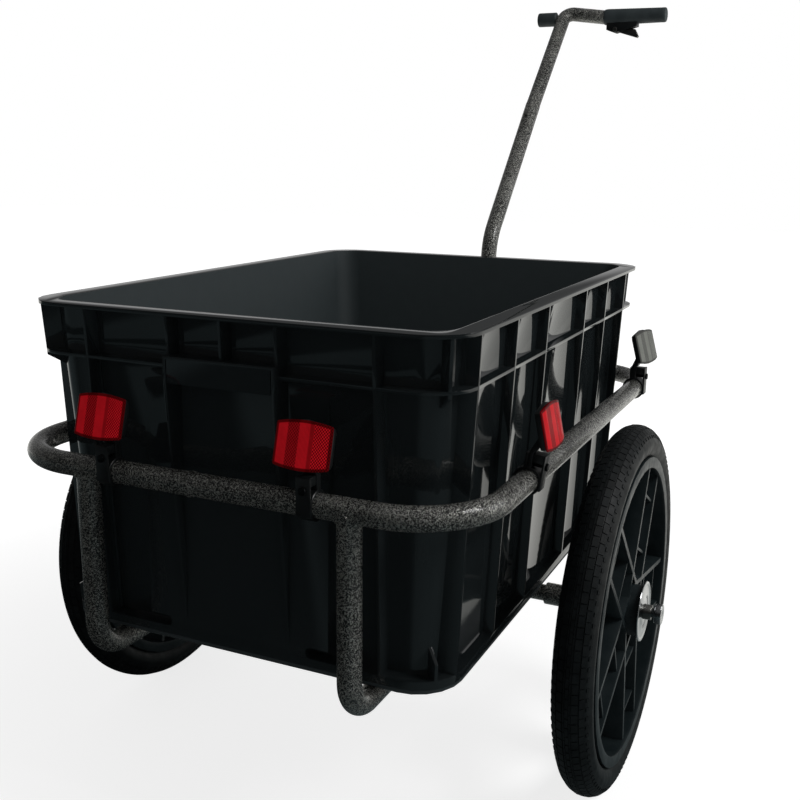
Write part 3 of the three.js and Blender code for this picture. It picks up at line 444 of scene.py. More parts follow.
def sweep(name, stations, headings, radius_at, sides=40, closed=False, sharp=35.0):
    """Round section carried along stations; radius_at gives the radius for a station number and an angle."""
    normal = headings[0].orthogonal().normalized()
    points, faces = [], []
    for i, (station, heading) in enumerate(zip(stations, headings)):
        normal = (normal - heading * normal.dot(heading)).normalized()
        other = heading.cross(normal)
        for k in range(sides):
            angle = 2 * math.pi * k / sides
            offset = (normal * math.cos(angle) + other * math.sin(angle)) * radius_at(i, angle)
            points.append((station + offset) * MM + SHIFT)
    count = len(stations)
    for i in range(count if closed else count - 1):
        here, there = i * sides, (i + 1) % count * sides
        for k in range(sides):
            following = (k + 1) % sides
            faces.append((here + k, here + following, there + following, there + k))
    if not closed:
        faces.append(tuple(range(sides)))
        faces.append(tuple((count - 1) * sides + k for k in range(sides)))
    return mesh_piece(name, points, faces, sharp)


def tube(name, corners, radii, radius, spacing=20.0):
    """Bent tube; radii are those of its bends."""
    stations, headings = route(corners, radii, spacing)
    return sweep(name, stations, headings, lambda i, angle: radius)


# Tub, with the depth of the bays between its side ribs
TUB_HALF, TUB_TOP, TUB_DRAFT, LIP_SETBACK = 227.0, 324.1, 0.047, 1.5
BAY_DEPTH, BAY_RISE, WALL_WITHIN = 16.0, 5.5, 0.3
BAY_REAR, BAY_FRONT, BAY_FOOT, BAY_TOP = -271.5, 234.5, 13.0, 321.0
TUB_EDGE, TUB_SHARP = 0.7, 25.0


def fill_side_bays(work):
    """Brings the walls between the side ribs outwards, so that the ribs stand as proud as in the photo."""
    for vert in work.verts:
        x, y, z = (vert.co - SHIFT) / MM
        wall = TUB_HALF - LIP_SETBACK - BAY_DEPTH - TUB_DRAFT * (TUB_TOP - z)
        if abs(abs(x) - wall) < WALL_WITHIN and BAY_REAR < y < BAY_FRONT and BAY_FOOT < z < BAY_TOP:
            vert.co.x += math.copysign(BAY_RISE * MM, x)


rounded("tub", "tub_shell", TUB_EDGE, sharp=TUB_SHARP, reshape=fill_side_bays)

# Ring tube, cradle tubes and axle
TUBE_R = 11.0
FINE_EDGE, SOFT_EDGE = 0.3, 0.4
RING_HALF, RING_REAR, RING_FRONT, RING_Z, RING_BEND = 242.5, -337.0, 330.0, 176.0, 80.0
CRADLE_X, CRADLE_Z, CRADLE_BEND, FRONT_BEND = 137.0, -11.3, 33.0, 28.0
HANGER_TOP = RING_Z - 3.0
SEAM_X, SEAM_HALF, SEAM_RISE, SEAM_RIPPLE, SEAM_RIPPLES = -20.0, 2.6, 1.0, 0.18, 11
WELD_R, WELD_RIPPLE, WELD_RIPPLES, WELD_STEPS, WELD_LEAST = 1.5, 0.12, 24, 96, 0.5


def ring_piece():
    """Ring tube with the raised seam of its butt weld on the rear run."""
    seam = (SEAM_X, RING_REAR, RING_Z)
    corners = [seam, (RING_HALF, RING_REAR, RING_Z), (RING_HALF, RING_FRONT, RING_Z),
               (-RING_HALF, RING_FRONT, RING_Z), (-RING_HALF, RING_REAR, RING_Z), seam]
    stations, headings = route(corners, [RING_BEND] * 4, 2.0, 24)

    def radius_at(i, angle):
        on_rear_run = stations[i].y < RING_REAR + 1
        from_seam = abs(stations[i].x - SEAM_X) if on_rear_run else RING_HALF
        swell = SEAM_RISE + SEAM_RIPPLE * math.cos(SEAM_RIPPLES * angle)
        return TUBE_R + math.exp(-(from_seam / SEAM_HALF) ** 2) * swell

    return sweep("ring_frame", stations[:-1], headings[:-1], radius_at, 36, True)


def weld(name, x, y):
    """Rippled bead where a hanger meets the ring from below."""
    line = []
    for k in range(WELD_STEPS):
        angle = 2 * math.pi * k / WELD_STEPS
        across = TUBE_R * math.sin(angle)
        below = math.sqrt(max(TUBE_R ** 2 - across ** 2, WELD_LEAST))
        line.append(Vector((x + TUBE_R * math.cos(angle), y + across, RING_Z - below)))
    headings = [(line[(k + 1) % WELD_STEPS] - line[k - 1]).normalized() for k in range(WELD_STEPS)]

    def radius_at(k, angle):
        return WELD_R * (1 + WELD_RIPPLE * math.cos(2 * math.pi * WELD_RIPPLES * k / WELD_STEPS))

    return sweep(name, line, headings, radius_at, 14, True, 60.0)


dress(ring_piece(), "ring_tube")
for side, word in SIDES:
    x = side * CRADLE_X
    path = [(x, RING_REAR, HANGER_TOP), (x, RING_REAR, CRADLE_Z),
            (x, RING_FRONT, CRADLE_Z), (x, RING_FRONT, HANGER_TOP)]
    dress(tube(f"cradle_bar_{word}", path, [CRADLE_BEND, FRONT_BEND], TUBE_R), f"cradle_{word}")
    for end, y in (("rear", RING_REAR), ("front", RING_FRONT)):
        beside(weld(f"hanger_weld_{end}_{word}", x, y), f"cradle_{word}")
    rounded(f"axle_sleeve_{word}", f"axle_outer_{word}", SOFT_EDGE)
rounded("axle_middle", "axle_cross", FINE_EDGE, 1)

# Drawbar, with the small fittings on it and the stand
SLOPE = math.radians(47.5)
BAR_REAR, BAR_Y, KNEE_Z, KNEE_BEND, JOINT_ALONG, JOINT_GAP = -6.0, 353.0, 342.5, 70.0, 263.0, 0.3
UPPER_R, CROWN_BEND, UPPER_SPACING = 10.55, 14.0, 10.0
slope_dir = Vector((0, math.cos(SLOPE), math.sin(SLOPE)))
knee = Vector((0, BAR_Y, KNEE_Z))
joint = knee + slope_dir * JOINT_ALONG
CROWN_X, CROWN_AHEAD, CROWN_ABOVE = 4.3, 138.3, 149.6
crown = joint + Vector((CROWN_X, CROWN_AHEAD, CROWN_ABOVE))
GRIP_IN, GRIP_OUT, GRIP_BACK, GRIP_DROP, BAR_OUT = 71.0, 168.0, 6.0, 9.4, 158.0
GRIP_Y, GRIP_Z = crown.y - GRIP_BACK, crown.z - GRIP_DROP
EAR_IN, EAR_OUT = 8.3, 11.3
EAR_REAR, EAR_FRONT, EAR_TOP, EAR_LOW, EAR_CORNER = 311.0, 333.0, -16.8, -48.0, 3.0

lower_path = [(0, BAR_REAR, CRADLE_Z), (0, BAR_Y, CRADLE_Z), knee, joint]
dress(tube("drawbar_lower_bar", lower_path, [CRADLE_BEND, KNEE_BEND], TUBE_R), "drawbar_lower")


def stand_ear(name, side):
    """Plate with two cut corners that holds the stand's pin on one side."""
    low_x, high_x = sorted((side * EAR_IN, side * EAR_OUT))
    outline = [(EAR_REAR, EAR_TOP), (EAR_FRONT, EAR_TOP),
               (EAR_FRONT, EAR_LOW + EAR_CORNER), (EAR_FRONT - EAR_CORNER, EAR_LOW),
               (EAR_REAR + EAR_CORNER, EAR_LOW), (EAR_REAR, EAR_LOW + EAR_CORNER)]
    count = len(outline)
    points = [place(x, y, z) for x in (low_x, high_x) for y, z in outline]
    faces = [tuple(range(count)), tuple(range(count, 2 * count))]
    faces += [(k, (k + 1) % count, (k + 1) % count + count, k + count) for k in range(count)]
    return mesh_piece(name, points, faces)


for side, word in SIDES:
    beside(stand_ear(f"stand_ear_{word}", side), "drawbar_lower")
upper_path = [joint + slope_dir * JOINT_GAP, crown, (GRIP_IN, GRIP_Y, GRIP_Z), (BAR_OUT, GRIP_Y, GRIP_Z)]
dress(tube("drawbar_upper_bar", upper_path, [CROWN_BEND] * 2, UPPER_R, UPPER_SPACING), "drawbar_upper")
for fitting in ("joint_bolt", "joint_nut", "ring_saddle", "saddle_bolt", "saddle_nut", "coupling_bracket",
                "latch_lever", "latch_pin", "stand_leg", "stand_pin"):
    rounded(fitting, f"{fitting}_piece", FINE_EDGE)

# Grips. Each round holds insets from the grip's radius and distances from its end
COLLAR_R, COLLAR_STARTS, COLLAR_ENDS = 12.2, -0.2, 10.0
COLLAR_ROUND = ((1.5, 0.0), (0.6, 1.2), (0.0, 5.2))
RIDGES, RIDGE_START, RIDGE_PITCH, RIDGE_DEPTH, RIDGE_R = 24, 14.0, 3.2, 0.12, 12.1
TAPER, TAPER_LONG = 1.1, 77.0
LONG_ROUND = ((0.0, 2.5), (0.6, 0.8), (2.4, 0.0))
SHORT_X, SHORT_R, SHORT_STARTS, SHORT_ENDS = -12.0, 10.7, -4.0, 26.0
SHORT_ROUND_IN = ((0.8, 0.0), (0.0, 0.8))
SHORT_ROUND_OUT = ((0.0, 1.8), (0.5, 0.6), (1.9, 0.0))


def long_grip_outline():
    """Collar, shallow ridges on a slight taper and a rounded end."""
    length = GRIP_OUT - GRIP_IN
    outline = [(0, COLLAR_STARTS)]
    outline += [(COLLAR_R - inset, COLLAR_STARTS + along) for inset, along in COLLAR_ROUND]
    outline.append((COLLAR_R, COLLAR_ENDS))
    for k in range(RIDGES):
        along = RIDGE_START + k * RIDGE_PITCH
        crest = RIDGE_R - TAPER * (along - RIDGE_START) / TAPER_LONG
        groove = crest - RIDGE_DEPTH
        for quarter, radius in enumerate((crest, groove, groove, crest)):
            outline.append((radius, along + quarter * RIDGE_PITCH / 4))
    outline += [(RIDGE_R - TAPER - inset, length - along) for inset, along in LONG_ROUND]
    return outline + [(0, length)]


def short_grip_outline():
    """Plain sleeve with a rounded outer end."""
    outline = [(0, SHORT_STARTS)]
    outline += [(SHORT_R - inset, SHORT_STARTS + along) for inset, along in SHORT_ROUND_IN]
    outline += [(SHORT_R - inset, SHORT_ENDS - along) for inset, along in SHORT_ROUND_OUT]
    return outline + [(0, SHORT_ENDS)]


dress(lathe("grip_long", long_grip_outline(), place(GRIP_IN, GRIP_Y, GRIP_Z), X_AXIS), "grip_right")
dress(lathe("grip_short", short_grip_outline(), place(SHORT_X, GRIP_Y, GRIP_Z), -X_AXIS), "grip_left")

# Wheels. Outlines start from the wheel's middle or, on the axle pin and its knob, from the trailer's
WHEEL_X, WHEEL_R, TYRE_HALF = 293.9, 197.3, 20.0
TYRE_RISE = WHEEL_R - TYRE_HALF
TYRE_STEPS, TYRE_FOOT, TYRE_SWING, TYRE_INNER = 100, -60.0, 300.0, 16.8
TREAD_DEPTH, TREAD_STARTS, TREAD_SINK = 0.9, 0.3, 1.55
RIDGE_SINES, RIDGE_HIGH, RIDGE_REACH, SKIN = (0.06, -0.3, -0.55), 0.45, 0.05, 0.05
# Rows of tread, flank first: tilt from the crown in degrees, shares of the block's width and length, and turn
# as a share of the pitch
TREAD_ROWS = ((62, 0.55, 0.42, 0.25), (43, 1.0, 1.0, 0.5), (22, 1.0, 1.0, 0.0), (8.2, 0.22, 1.09, 0.0))
CROWN_ROW = (0, 0.52, 1.0, 0.5)
# Hub disc: its rolled edge as insets from its radius with their heights, and its boss as radii with heights
DISC_R, DISC_BORE, DISC_NEAR = 32.0, 8.3, 26.3
DISC_EDGE = ((2.5, 0.0), (0.3, 0.4), (0.0, 1.0), (0.3, 1.6), (1.4, 2.0), (2.6, 1.9), (3.4, 1.3), (4.6, 1.1))
DISC_BOSS = ((15.5, 1.1), (14.0, 1.9), (8.6, 2.0), (DISC_BORE, 1.7))
# Axle pin and release knob, with the cuts on their corners
PIN_R, PIN_START, HEAD_R, HEAD_START, HEAD_END = 6.0, 204.0, 8.0, 320.2, 330.0
SOCKET_R, SOCKET_FLOOR = 5.3, 324.2
STEM_R, STEM_START, KNOB_R, KNOB_START, KNOB_END, DIMPLE_R = 5.0, 328.2, 11.0, 334.0, 341.0, 4.0
SMALL_CUT, CUT, WIDE_CUT = 0.4, 0.6, 0.8


def tyre_outline():
    """Section of the tyre: sunk under the tread, three fine ridges on each flank, then the inside."""
    outer, inner = [], []
    for step in range(TYRE_STEPS + 1):
        angle = math.radians(TYRE_FOOT + TYRE_SWING * step / TYRE_STEPS)
        up = math.sin(angle)
        radius = TYRE_HALF - TREAD_DEPTH * (1 if up > TREAD_STARTS else max(0.0, up / TREAD_STARTS))
        for ridge in RIDGE_SINES:
            radius += RIDGE_HIGH * max(0.0, 1 - abs(up - ridge) / RIDGE_REACH)
        radius = min(radius, TYRE_HALF - SKIN)
        outer.append((TYRE_RISE + radius * up, radius * math.cos(angle)))
        inner.insert(0, (TYRE_RISE + TYRE_INNER * up, TYRE_INNER * math.cos(angle)))
    return outer + inner + [outer[0]]


def tread_tree():
    """Rows of tread blocks set round the tyre, built from named sizes."""
    tree = bpy.data.node_groups.new("tread rows", "GeometryNodeTree")
    sizes = (("Wheel Radius", "NodeSocketFloat", 0.177), ("Section Radius", "NodeSocketFloat", 0.0187),
             ("Block Count", "NodeSocketInt", 116), ("Block Length", "NodeSocketFloat", 0.0092),
             ("Block Width", "NodeSocketFloat", 0.0061), ("Block Height", "NodeSocketFloat", 0.0026),
             ("Centre", "NodeSocketVector", (0, 0, 0)), ("Rubber", "NodeSocketMaterial", None))
    for label, kind, value in sizes:
        socket = tree.interface.new_socket(label, in_out="INPUT", socket_type=kind)
        if value is not None:
            socket.default_value = value
    tree.interface.new_socket("Tread", in_out="OUTPUT", socket_type="NodeSocketGeometry")
    given = tree.nodes.new("NodeGroupInput").outputs
    wheel, section, count, long, wide, high, centre, rubber = (Flow(tree, given[size[0]]) for size in sizes)
    grow = Flow(tree)
    merge = tree.nodes.new("GeometryNodeJoinGeometry")
    left_rows = [(-degrees, *shares) for degrees, *shares in TREAD_ROWS]
    for degrees, wide_share, long_share, turn_share in (*left_rows, CROWN_ROW, *reversed(TREAD_ROWS)):
        tilt = math.radians(degrees)
        ring = grow.node("GeometryNodeMeshCircle", Vertices=count, Radius=wheel + section * math.cos(tilt))
        upright = grow.node("GeometryNodeTransform", Geometry=ring, Rotation=(0, math.pi / 2, 0))
        phase = grow.node("ShaderNodeCombineXYZ", X=2 * math.pi * turn_share / count)
        offset = grow.node("ShaderNodeCombineXYZ", X=section * math.sin(tilt))
        turned = grow.node("GeometryNodeTransform", Geometry=upright, Rotation=phase, Translation=offset)
        size = grow.node("ShaderNodeCombineXYZ", X=wide * wide_share, Y=long * long_share, Z=high)
        block = grow.node("GeometryNodeMeshCube", Size=size)
        _, y, z = grow.node("GeometryNodeInputPosition").split()
        flat = grow.node("ShaderNodeCombineXYZ", Y=y, Z=z)
        unit = grow.node("ShaderNodeVectorMath", settings={"operation": "NORMALIZE"}, i0=flat)
        leaned = grow.node("ShaderNodeVectorMath", settings={"operation": "MULTIPLY_ADD"}, i0=unit,
                           i1=(math.cos(tilt),) * 3, i2=(math.sin(tilt), 0, 0))
        up = grow.node("FunctionNodeAlignRotationToVector", settings={"axis": "Z"}, Vector=leaned)
        across = grow.node("FunctionNodeAlignRotationToVector", settings={"axis": "X", "pivot_axis": "Z"},
                           Rotation=up, Vector=(1.0, 0.0, 0.0))
        laid = grow.node("GeometryNodeInstanceOnPoints", Points=turned, Instance=block, Rotation=across)
        tree.links.new(laid.socket, merge.inputs[0])
    rows = Flow(tree, merge.outputs[0])
    moved = grow.node("GeometryNodeTransform", Geometry=rows, Translation=centre)
    real = grow.node("GeometryNodeRealizeInstances", Geometry=moved)
    dyed = grow.node("GeometryNodeSetMaterial", Geometry=real, Material=rubber)
    tree.links.new(dyed.socket, tree.nodes.new("NodeGroupOutput").inputs[0])
    return tree


def grown(name, tree, values, sharp=35.0):
    """Object grown by a node tree and kept as a plain mesh."""
    obj = linked(name, bpy.data.meshes.new(name))
    modifier = obj.modifiers.new("grow", "NODES")
    modifier.node_group = tree
    for item in tree.interface.items_tree:
        if item.item_type == "SOCKET" and item.in_out == "INPUT" and item.name in values:
            modifier[item.identifier] = values[item.name]
    obj.update_tag()
    bpy.context.view_layer.update()
    return settled(obj, sharp)


def disc_outline():
    """Stepped disc over the hub, with a rolled edge and a low boss round its bore."""
    edge = [(DISC_R - inset, high) for inset, high in DISC_EDGE]
    section = [(DISC_BORE, 0.0), *edge, *DISC_BOSS, (DISC_BORE, 0.0)]
    return [(radius, DISC_NEAR + high) for radius, high in section]


def pin_outline():
    """Axle pin with a wider head, hollow at its end for the knob's stem."""
    return [(0, PIN_START), (PIN_R - CUT, PIN_START), (PIN_R, PIN_START + WIDE_CUT), (PIN_R, HEAD_START),
            (HEAD_R, HEAD_START), (HEAD_R, HEAD_END - CUT), (HEAD_R - SMALL_CUT, HEAD_END),
            (SOCKET_R, HEAD_END), (SOCKET_R, SOCKET_FLOOR), (0, SOCKET_FLOOR)]


def knob_outline():
    """Release knob on its stem, with a dimple in its face."""
    return [(0, STEM_START), (STEM_R, STEM_START), (STEM_R, KNOB_START), (KNOB_R - CUT, KNOB_START),
            (KNOB_R, KNOB_START + CUT), (KNOB_R, KNOB_END - WIDE_CUT), (KNOB_R - CUT, KNOB_END),
            (DIMPLE_R, KNOB_END), (DIMPLE_R - CUT, KNOB_END - SMALL_CUT), (0, KNOB_END - SMALL_CUT)]


tread_rows = tread_tree()
axle_middle = place(0, AXLE_Y, AXLE_Z)
for side, word in SIDES:
    out = X_AXIS * side
    centre = place(side * WHEEL_X, AXLE_Y, AXLE_Z)
    dress(lathe(f"tyre_case_{word}", tyre_outline(), centre, out, 200, 50.0), f"tyre_{word}")
    tread_sizes = {"Wheel Radius": TYRE_RISE * MM, "Section Radius": (TYRE_HALF - TREAD_SINK) * MM,
                   "Centre": centre, "Rubber": finishes["tyre_rubber"]}
    beside(grown(f"tyre_tread_{word}", tread_rows, tread_sizes), f"tyre_{word}")
    rounded(f"rim_{word}", f"rim_cast_{word}", SOFT_EDGE, sharp=28.0)
    rounded(f"bearing_{word}", f"bearing_ring_{word}", FINE_EDGE, 1)
    dress(lathe(f"hub_disc_{word}", disc_outline(), centre, out), f"hub_cap_{word}")
    dress(lathe(f"axle_rod_{word}", pin_outline(), axle_middle, out, 64), f"axle_pin_{word}")
    dress(lathe(f"knob_{word}", knob_outline(), axle_middle, out, 64), f"release_knob_{word}")

# Foot of the stand, a rubber cap with a hollow for the leg
STAND_Y, FOOT_R, NECK_R, LEG_R, FOOT_CUT, NECK_CUT = 322.0, 13.0, 10.2, 8.3, 1.0, 1.4
FOOT_LOW, LEG_END, FOOT_TOP = AXLE_Z - WHEEL_R, -200.6, -182.6
foot_outline = [(0, FOOT_LOW), (FOOT_R - FOOT_CUT, FOOT_LOW), (FOOT_R, FOOT_LOW + WIDE_CUT),
                (FOOT_R, LEG_END), (NECK_R, FOOT_TOP - NECK_CUT), (NECK_R - WIDE_CUT, FOOT_TOP),
                (LEG_R, FOOT_TOP), (LEG_R, LEG_END), (0, LEG_END)]
dress(lathe("foot_cap", foot_outline, place(0, STAND_Y, 0), Z_AXIS, 64), "stand_foot")

# Reflectors. A set is modelled about the tube's middle, facing -Y, and then turned and moved to its spot
LENS_HALF, LENS_TALL, LENS_CORNER, LENS_BULGE, LENS_INSET = 26.5, 18.6, 2.2, 2.6, 0.25
LENS_FACE, LENS_THICK, TRAY_CENTRE, LENS_PROUD = -15.0, 2.2, 50.5, 0.03
RIM_WIDE, RIM_FALL = 0.9, 0.55
WING_START, WING_FALL = 17.5, 1.2
LENS_COLUMNS, LENS_ROWS = 106, 60
LENS_STRAIGHT = LENS_HALF - LENS_CORNER
# The first and last columns stand just inside the ends, where the lens keeps a little height
END_SHARE = math.sin(math.radians(89.91))
MOULDED_SHARP, STRAP_EDGE, BAND_SIDES = 40.0, 0.5, 72
BAND_IN, BAND_OUT, BAND_HALF, BAND_CUT = 11.35, 13.65, 7.4, 0.45
# Plate, tab and cheek of the strap: half width, y from and to, z from and to
STRAP_BLOCKS = ((7.0, -13.7, -11.6, -7.0, 26.8), (6.4, -12.0, -2.4, 18.6, 26.6), (6.8, 2.4, 5.3, 8.5, 26.8))


def turned_about(axis, degrees):
    return Matrix.Rotation(math.radians(degrees), 4, axis)


def half_tall(x):
    """Half height of a lens: bulged along its length and round at its corners."""
    if abs(x) <= LENS_STRAIGHT:
        return LENS_TALL + LENS_BULGE * (1 - (x / LENS_STRAIGHT) ** 2) - LENS_INSET
    share = min(1.0, (abs(x) - LENS_STRAIGHT) / LENS_CORNER)
    return LENS_TALL - LENS_INSET - LENS_CORNER * (1 - math.sqrt(max(0.0, 1 - share * share)))


def lens_piece(name, spot, heading, tilt, lean, turn):
    """Moulded lens: a grid over its face with a rounded rim and swept ends, its sides and a flat back."""
    seat = (turned_about("Z", heading) @ turned_about("X", tilt) @ turned_about("Z", turn)
            @ Matrix.Translation((0, 0, TRAY_CENTRE)) @ turned_about("X", -lean))
    points, own_places, faces = [], [], []
    for i in range(LENS_COLUMNS + 1):
        x = LENS_HALF * max(-END_SHARE, min(END_SHARE, 2 * i / LENS_COLUMNS - 1))
        tall = half_tall(x)
        for j in range(LENS_ROWS + 1):
            z = tall * (2 * j / LENS_ROWS - 1)
            edge = min(LENS_HALF - abs(x), tall - abs(z))
            rim = RIM_FALL * (1 - min(1.0, edge / RIM_WIDE)) ** 2
            wing = WING_FALL * max(0.0, (abs(x) - WING_START) / (LENS_HALF - WING_START))
            points.append((x, LENS_FACE + LENS_PROUD + rim + wing, z))
            own_places.append((x, z, edge))
    step = LENS_ROWS + 1
    for i in range(LENS_COLUMNS):
        for j in range(LENS_ROWS):
            a = i * step + j
            faces.append((a, a + step, a + step + 1, a + 1))
    border = ([i * step for i in range(LENS_COLUMNS + 1)]
              + [LENS_COLUMNS * step + j for j in range(1, LENS_ROWS + 1)]
              + [i * step + LENS_ROWS for i in range(LENS_COLUMNS - 1, -1, -1)]
              + [j for j in range(LENS_ROWS - 1, 0, -1)])
    back = len(points)
    for k in border:
        x, y, z = points[k]
        points.append((x, LENS_FACE + LENS_THICK, z))
        own_places.append((x, z, 0.0))
    total = len(border)
    for k in range(total):
        following = (k + 1) % total
        faces.append((border[following], border[k], back + k, back + following))
    faces.append(tuple(back + k for k in range(total)))
    points = [(seat @ Vector(point) + Vector(spot)) * MM + SHIFT for point in points]
    return mesh_piece(name, points, faces, MOULDED_SHARP, own_places)


def strap_piece(name, spot, heading, tilt):
    """Moulded strap: a band round the tube, a flat plate in front of it, and a tab and a cheek above it."""
    work = bmesh.new()
    for half, rear, front, low, high in STRAP_BLOCKS:
        middle = Matrix.Translation((0, (rear + front) / 2, (low + high) / 2))
        size = Matrix.Diagonal((2 * half, front - rear, high - low, 1))
        bmesh.ops.create_cube(work, size=1.0, matrix=middle @ size)
    bmesh.ops.bevel(work, geom=work.edges[:], offset=STRAP_EDGE, segments=2, affect="EDGES", profile=0.5)
    section = [(BAND_IN, -BAND_HALF), (BAND_OUT - BAND_CUT, -BAND_HALF), (BAND_OUT, SMALL_CUT - BAND_HALF),
               (BAND_OUT, BAND_HALF - SMALL_CUT), (BAND_OUT - BAND_CUT, BAND_HALF), (BAND_IN, BAND_HALF)]
    rings = []
    for i in range(BAND_SIDES):
        angle = 2 * math.pi * i / BAND_SIDES
        rings.append([work.verts.new((x, radius * math.cos(angle), radius * math.sin(angle)))
                      for radius, x in section])
    for ring, following in zip(rings, rings[1:] + rings[:1]):
        for k in range(len(section)):
            along = (k + 1) % len(section)
            work.faces.new((ring[k], ring[along], following[along], following[k]))
    seat = (Matrix.Translation(Vector(spot) * MM + SHIFT) @ turned_about("Z", heading)
            @ turned_about("X", tilt) @ Matrix.Scale(MM, 4))
    bmesh.ops.transform(work, matrix=seat, verts=work.verts)
    return outward_piece(name, bpy.data.meshes.new(name), work, MOULDED_SHARP)


REAR_X = {"left": -108.5, "right": 101.0}
SIDE_Y, FRONT_Y = -188.0, 242.0
for side, word in SIDES:
    # Spot, then angles in degrees: heading and tilt of the set, lean and turn of its tray
    seats = {"rear": ((REAR_X[word], RING_REAR, RING_Z), 0, 0, 16, 0),
             "side": ((side * RING_HALF, SIDE_Y, RING_Z), side * 90, 8, 20, 0),
             "front": ((side * RING_HALF, FRONT_Y, RING_Z), side * 90, 0, 16, -side * 10)}
    for kind, (spot, heading, tilt, lean, turn) in seats.items():
        stem = f"{kind}_reflector_{word}"
        dress(strap_piece(f"{stem}_band", spot, heading, tilt), f"{stem}_strap")
        rounded(f"{stem}_tray", f"{stem}_case", SOFT_EDGE)
        dress(lens_piece(f"{stem}_prism", spot, heading, tilt, lean, turn), f"{stem}_lens")
        bolt = rounded(f"{stem}_screw", f"{stem}_bolt", FINE_EDGE)
        bolt.data.materials[0] = blackened_steel

# Floor, light and camera
WHITE = (1.0, 1.0, 1.0, 1.0)
FLOOR_HALF = 9.0
SHADOW_NEAR, SHADOW_FAR, SHADOW_WHITE = 0.45, 1.3, 0.79
STRIPE_WAVE, STRIPE_WAVE_AHEAD = 2.6, 0.5
BEHIND_TINT, AHEAD_TINT = (0.72, 0.95, 1.0), (1.0, 1.0, 0.95)


def end_tree(tree, kind, surface):
    """Ends a tree of shaders at its output node."""
    tree.links.new(surface.socket, tree.nodes.new(kind).inputs["Surface"])


def floor_look():
    """To the camera white with a soft shadow; in reflections pale ahead, and dark with stripes behind."""
    look = bpy.data.materials.new("floor")
    look.use_nodes = True
    tree = look.node_tree
    tree.nodes.clear()
    start = Flow(tree)
    seen = start.node("ShaderNodeTexCoord", "Object")
    sideways, ahead, _ = seen.split()
    reach = seen.node("ShaderNodeVectorMath", "Value", {"operation": "LENGTH"}, i0=seen)
    matt = start.node("ShaderNodeBsdfPrincipled", Base_Color=(0.75, 0.75, 0.75, 1.0), Roughness=0.8)
    glow = reach.ramp(SHADOW_NEAR, SHADOW_FAR, SHADOW_WHITE, 1.0)
    white = start.node("ShaderNodeEmission", Color=WHITE, Strength=glow)
    shaded = start.node("ShaderNodeBsdfDiffuse", Color=(0.5, 0.5, 0.5, 1.0))
    wave = (sideways * STRIPE_WAVE + ahead * STRIPE_WAVE_AHEAD).sine()
    stripes = wave.ramp(-0.5, 0.3, 0.015, 0.11)
    tint = ahead.ramp(-0.6, 0.4).blend_colors(BEHIND_TINT, AHEAD_TINT)
    sheen = start.node("ShaderNodeEmission", Color=tint, Strength=ahead.ramp(-0.3, 0.6, 0.0, 0.8) + stripes)
    to_camera = start.node("ShaderNodeLightPath", "Is Camera Ray")
    shown = start.node("ShaderNodeMixShader", i0=to_camera, i1=matt,
                       i2=start.node("ShaderNodeAddShader", i0=white, i1=shaded))
    mirrored = start.node("ShaderNodeMixShader", i0=to_camera.also("Is Glossy Ray"), i1=shown, i2=sheen)
    end_tree(tree, "ShaderNodeOutputMaterial", mirrored)
    return look


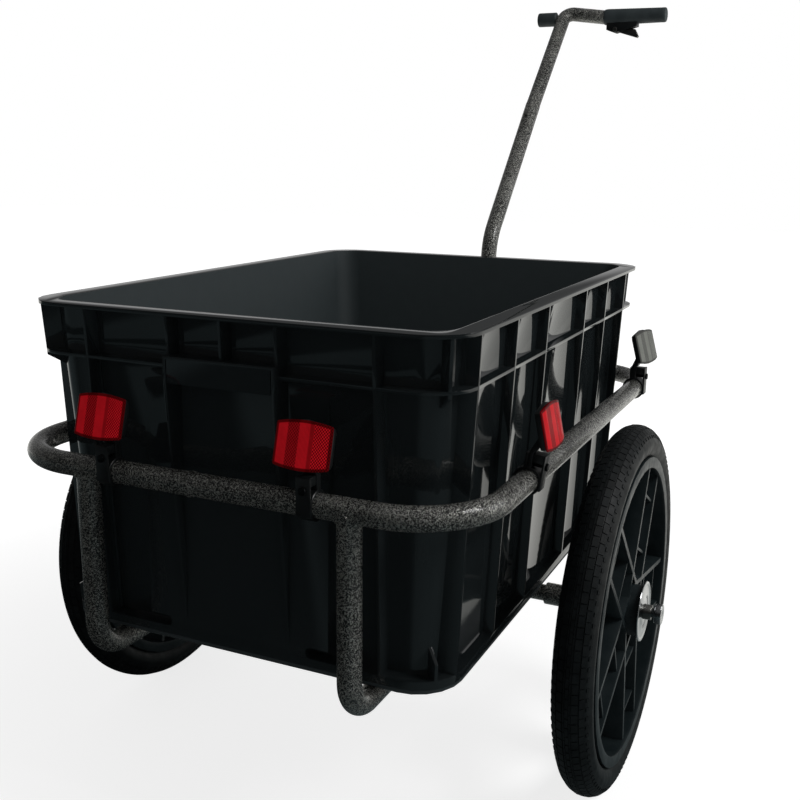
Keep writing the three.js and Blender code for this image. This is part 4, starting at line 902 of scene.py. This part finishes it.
def studio_world():
    """White to the camera, soft light on the trailer; in reflections bright ahead, dark behind and above."""
    world = bpy.data.worlds.new("studio")
    world.use_nodes = True
    tree = world.node_tree
    tree.nodes.clear()
    start = Flow(tree)
    _, ahead, upward = start.node("ShaderNodeTexCoord", "Generated").split()
    to_camera = start.node("ShaderNodeLightPath", "Is Camera Ray")
    mirrored = to_camera.also("Is Glossy Ray")
    soft = ahead.ramp(-0.7, 0.8, 0.42, 0.75) * upward.ramp(0.15, 0.8, 1.0, 0.3)
    horizon = ahead.ramp(0.0, 0.5, 0.035, 0.52) * upward.ramp(0.1, 0.3, 1.0, 0.3)
    bright = horizon + upward.ramp(0.3, 0.9, 0.0, 0.22)
    room = start.node("ShaderNodeBackground", Color=(0.8, 0.8, 0.8, 1.0),
                      Strength=soft * (1.0 - mirrored) + bright * mirrored)
    blank = start.node("ShaderNodeBackground", Color=WHITE)
    shown = start.node("ShaderNodeMixShader", i0=to_camera, i1=room, i2=blank)
    end_tree(tree, "ShaderNodeOutputWorld", shown)
    return world


def lamp(name, spot, target, power, size):
    """Square lamp at one point, aimed at another."""
    data = bpy.data.lights.new(name, "AREA")
    data.energy = power
    data.size = size
    obj = linked(name, data)
    obj.location = spot
    obj.rotation_mode = "QUATERNION"
    obj.rotation_quaternion = (Vector(target) - Vector(spot)).to_track_quat("-Z", "Y")


floor_mesh = bpy.data.meshes.new("floor")
floor_corners = [(x * FLOOR_HALF, y * FLOOR_HALF, 0) for x, y in ((-1, -1), (1, -1), (1, 1), (-1, 1))]
floor_mesh.from_pydata(floor_corners, [], [(0, 1, 2, 3)])
floor = linked("floor", floor_mesh)
floor_mesh.materials.append(floor_look())
bpy.context.scene.world = studio_world()
lamp("key", spot=(1.9, -0.2, 1.9), target=(0, -0.1, 0.3), power=20, size=0.8)
lamp("side", spot=(2.6, 1.2, 1.4), target=(0, 0, 0.4), power=12, size=1.4)

# Camera as solved from the photo, which is PHOTO_WIDE pixels wide
AZIMUTH, ELEVATION, ROLL = math.radians(24.835), math.radians(13.332), math.radians(0.606)
EYE = place(513.39, -1053.16, 461.50)
PHOTO_WIDE, FOCAL_PIXELS, SENSOR_WIDE = 800, 1036.28, 36.0
level = Vector((math.cos(AZIMUTH), math.sin(AZIMUTH), 0))
forward = Vector((-math.sin(AZIMUTH) * math.cos(ELEVATION), math.cos(AZIMUTH) * math.cos(ELEVATION),
                  -math.sin(ELEVATION)))
upright = level.cross(forward)
right = level * math.cos(ROLL) + upright * math.sin(ROLL)
top = upright * math.cos(ROLL) - level * math.sin(ROLL)
camera_data = bpy.data.cameras.new("camera")
camera_data.sensor_width = SENSOR_WIDE
camera_data.lens = SENSOR_WIDE * FOCAL_PIXELS / PHOTO_WIDE
camera = linked("camera", camera_data)
camera.matrix_world = Matrix.Translation(EYE) @ Matrix((right, top, -forward)).transposed().to_4x4()
bpy.context.scene.camera = camera
bpy.context.scene.view_settings.view_transform = "Standard"
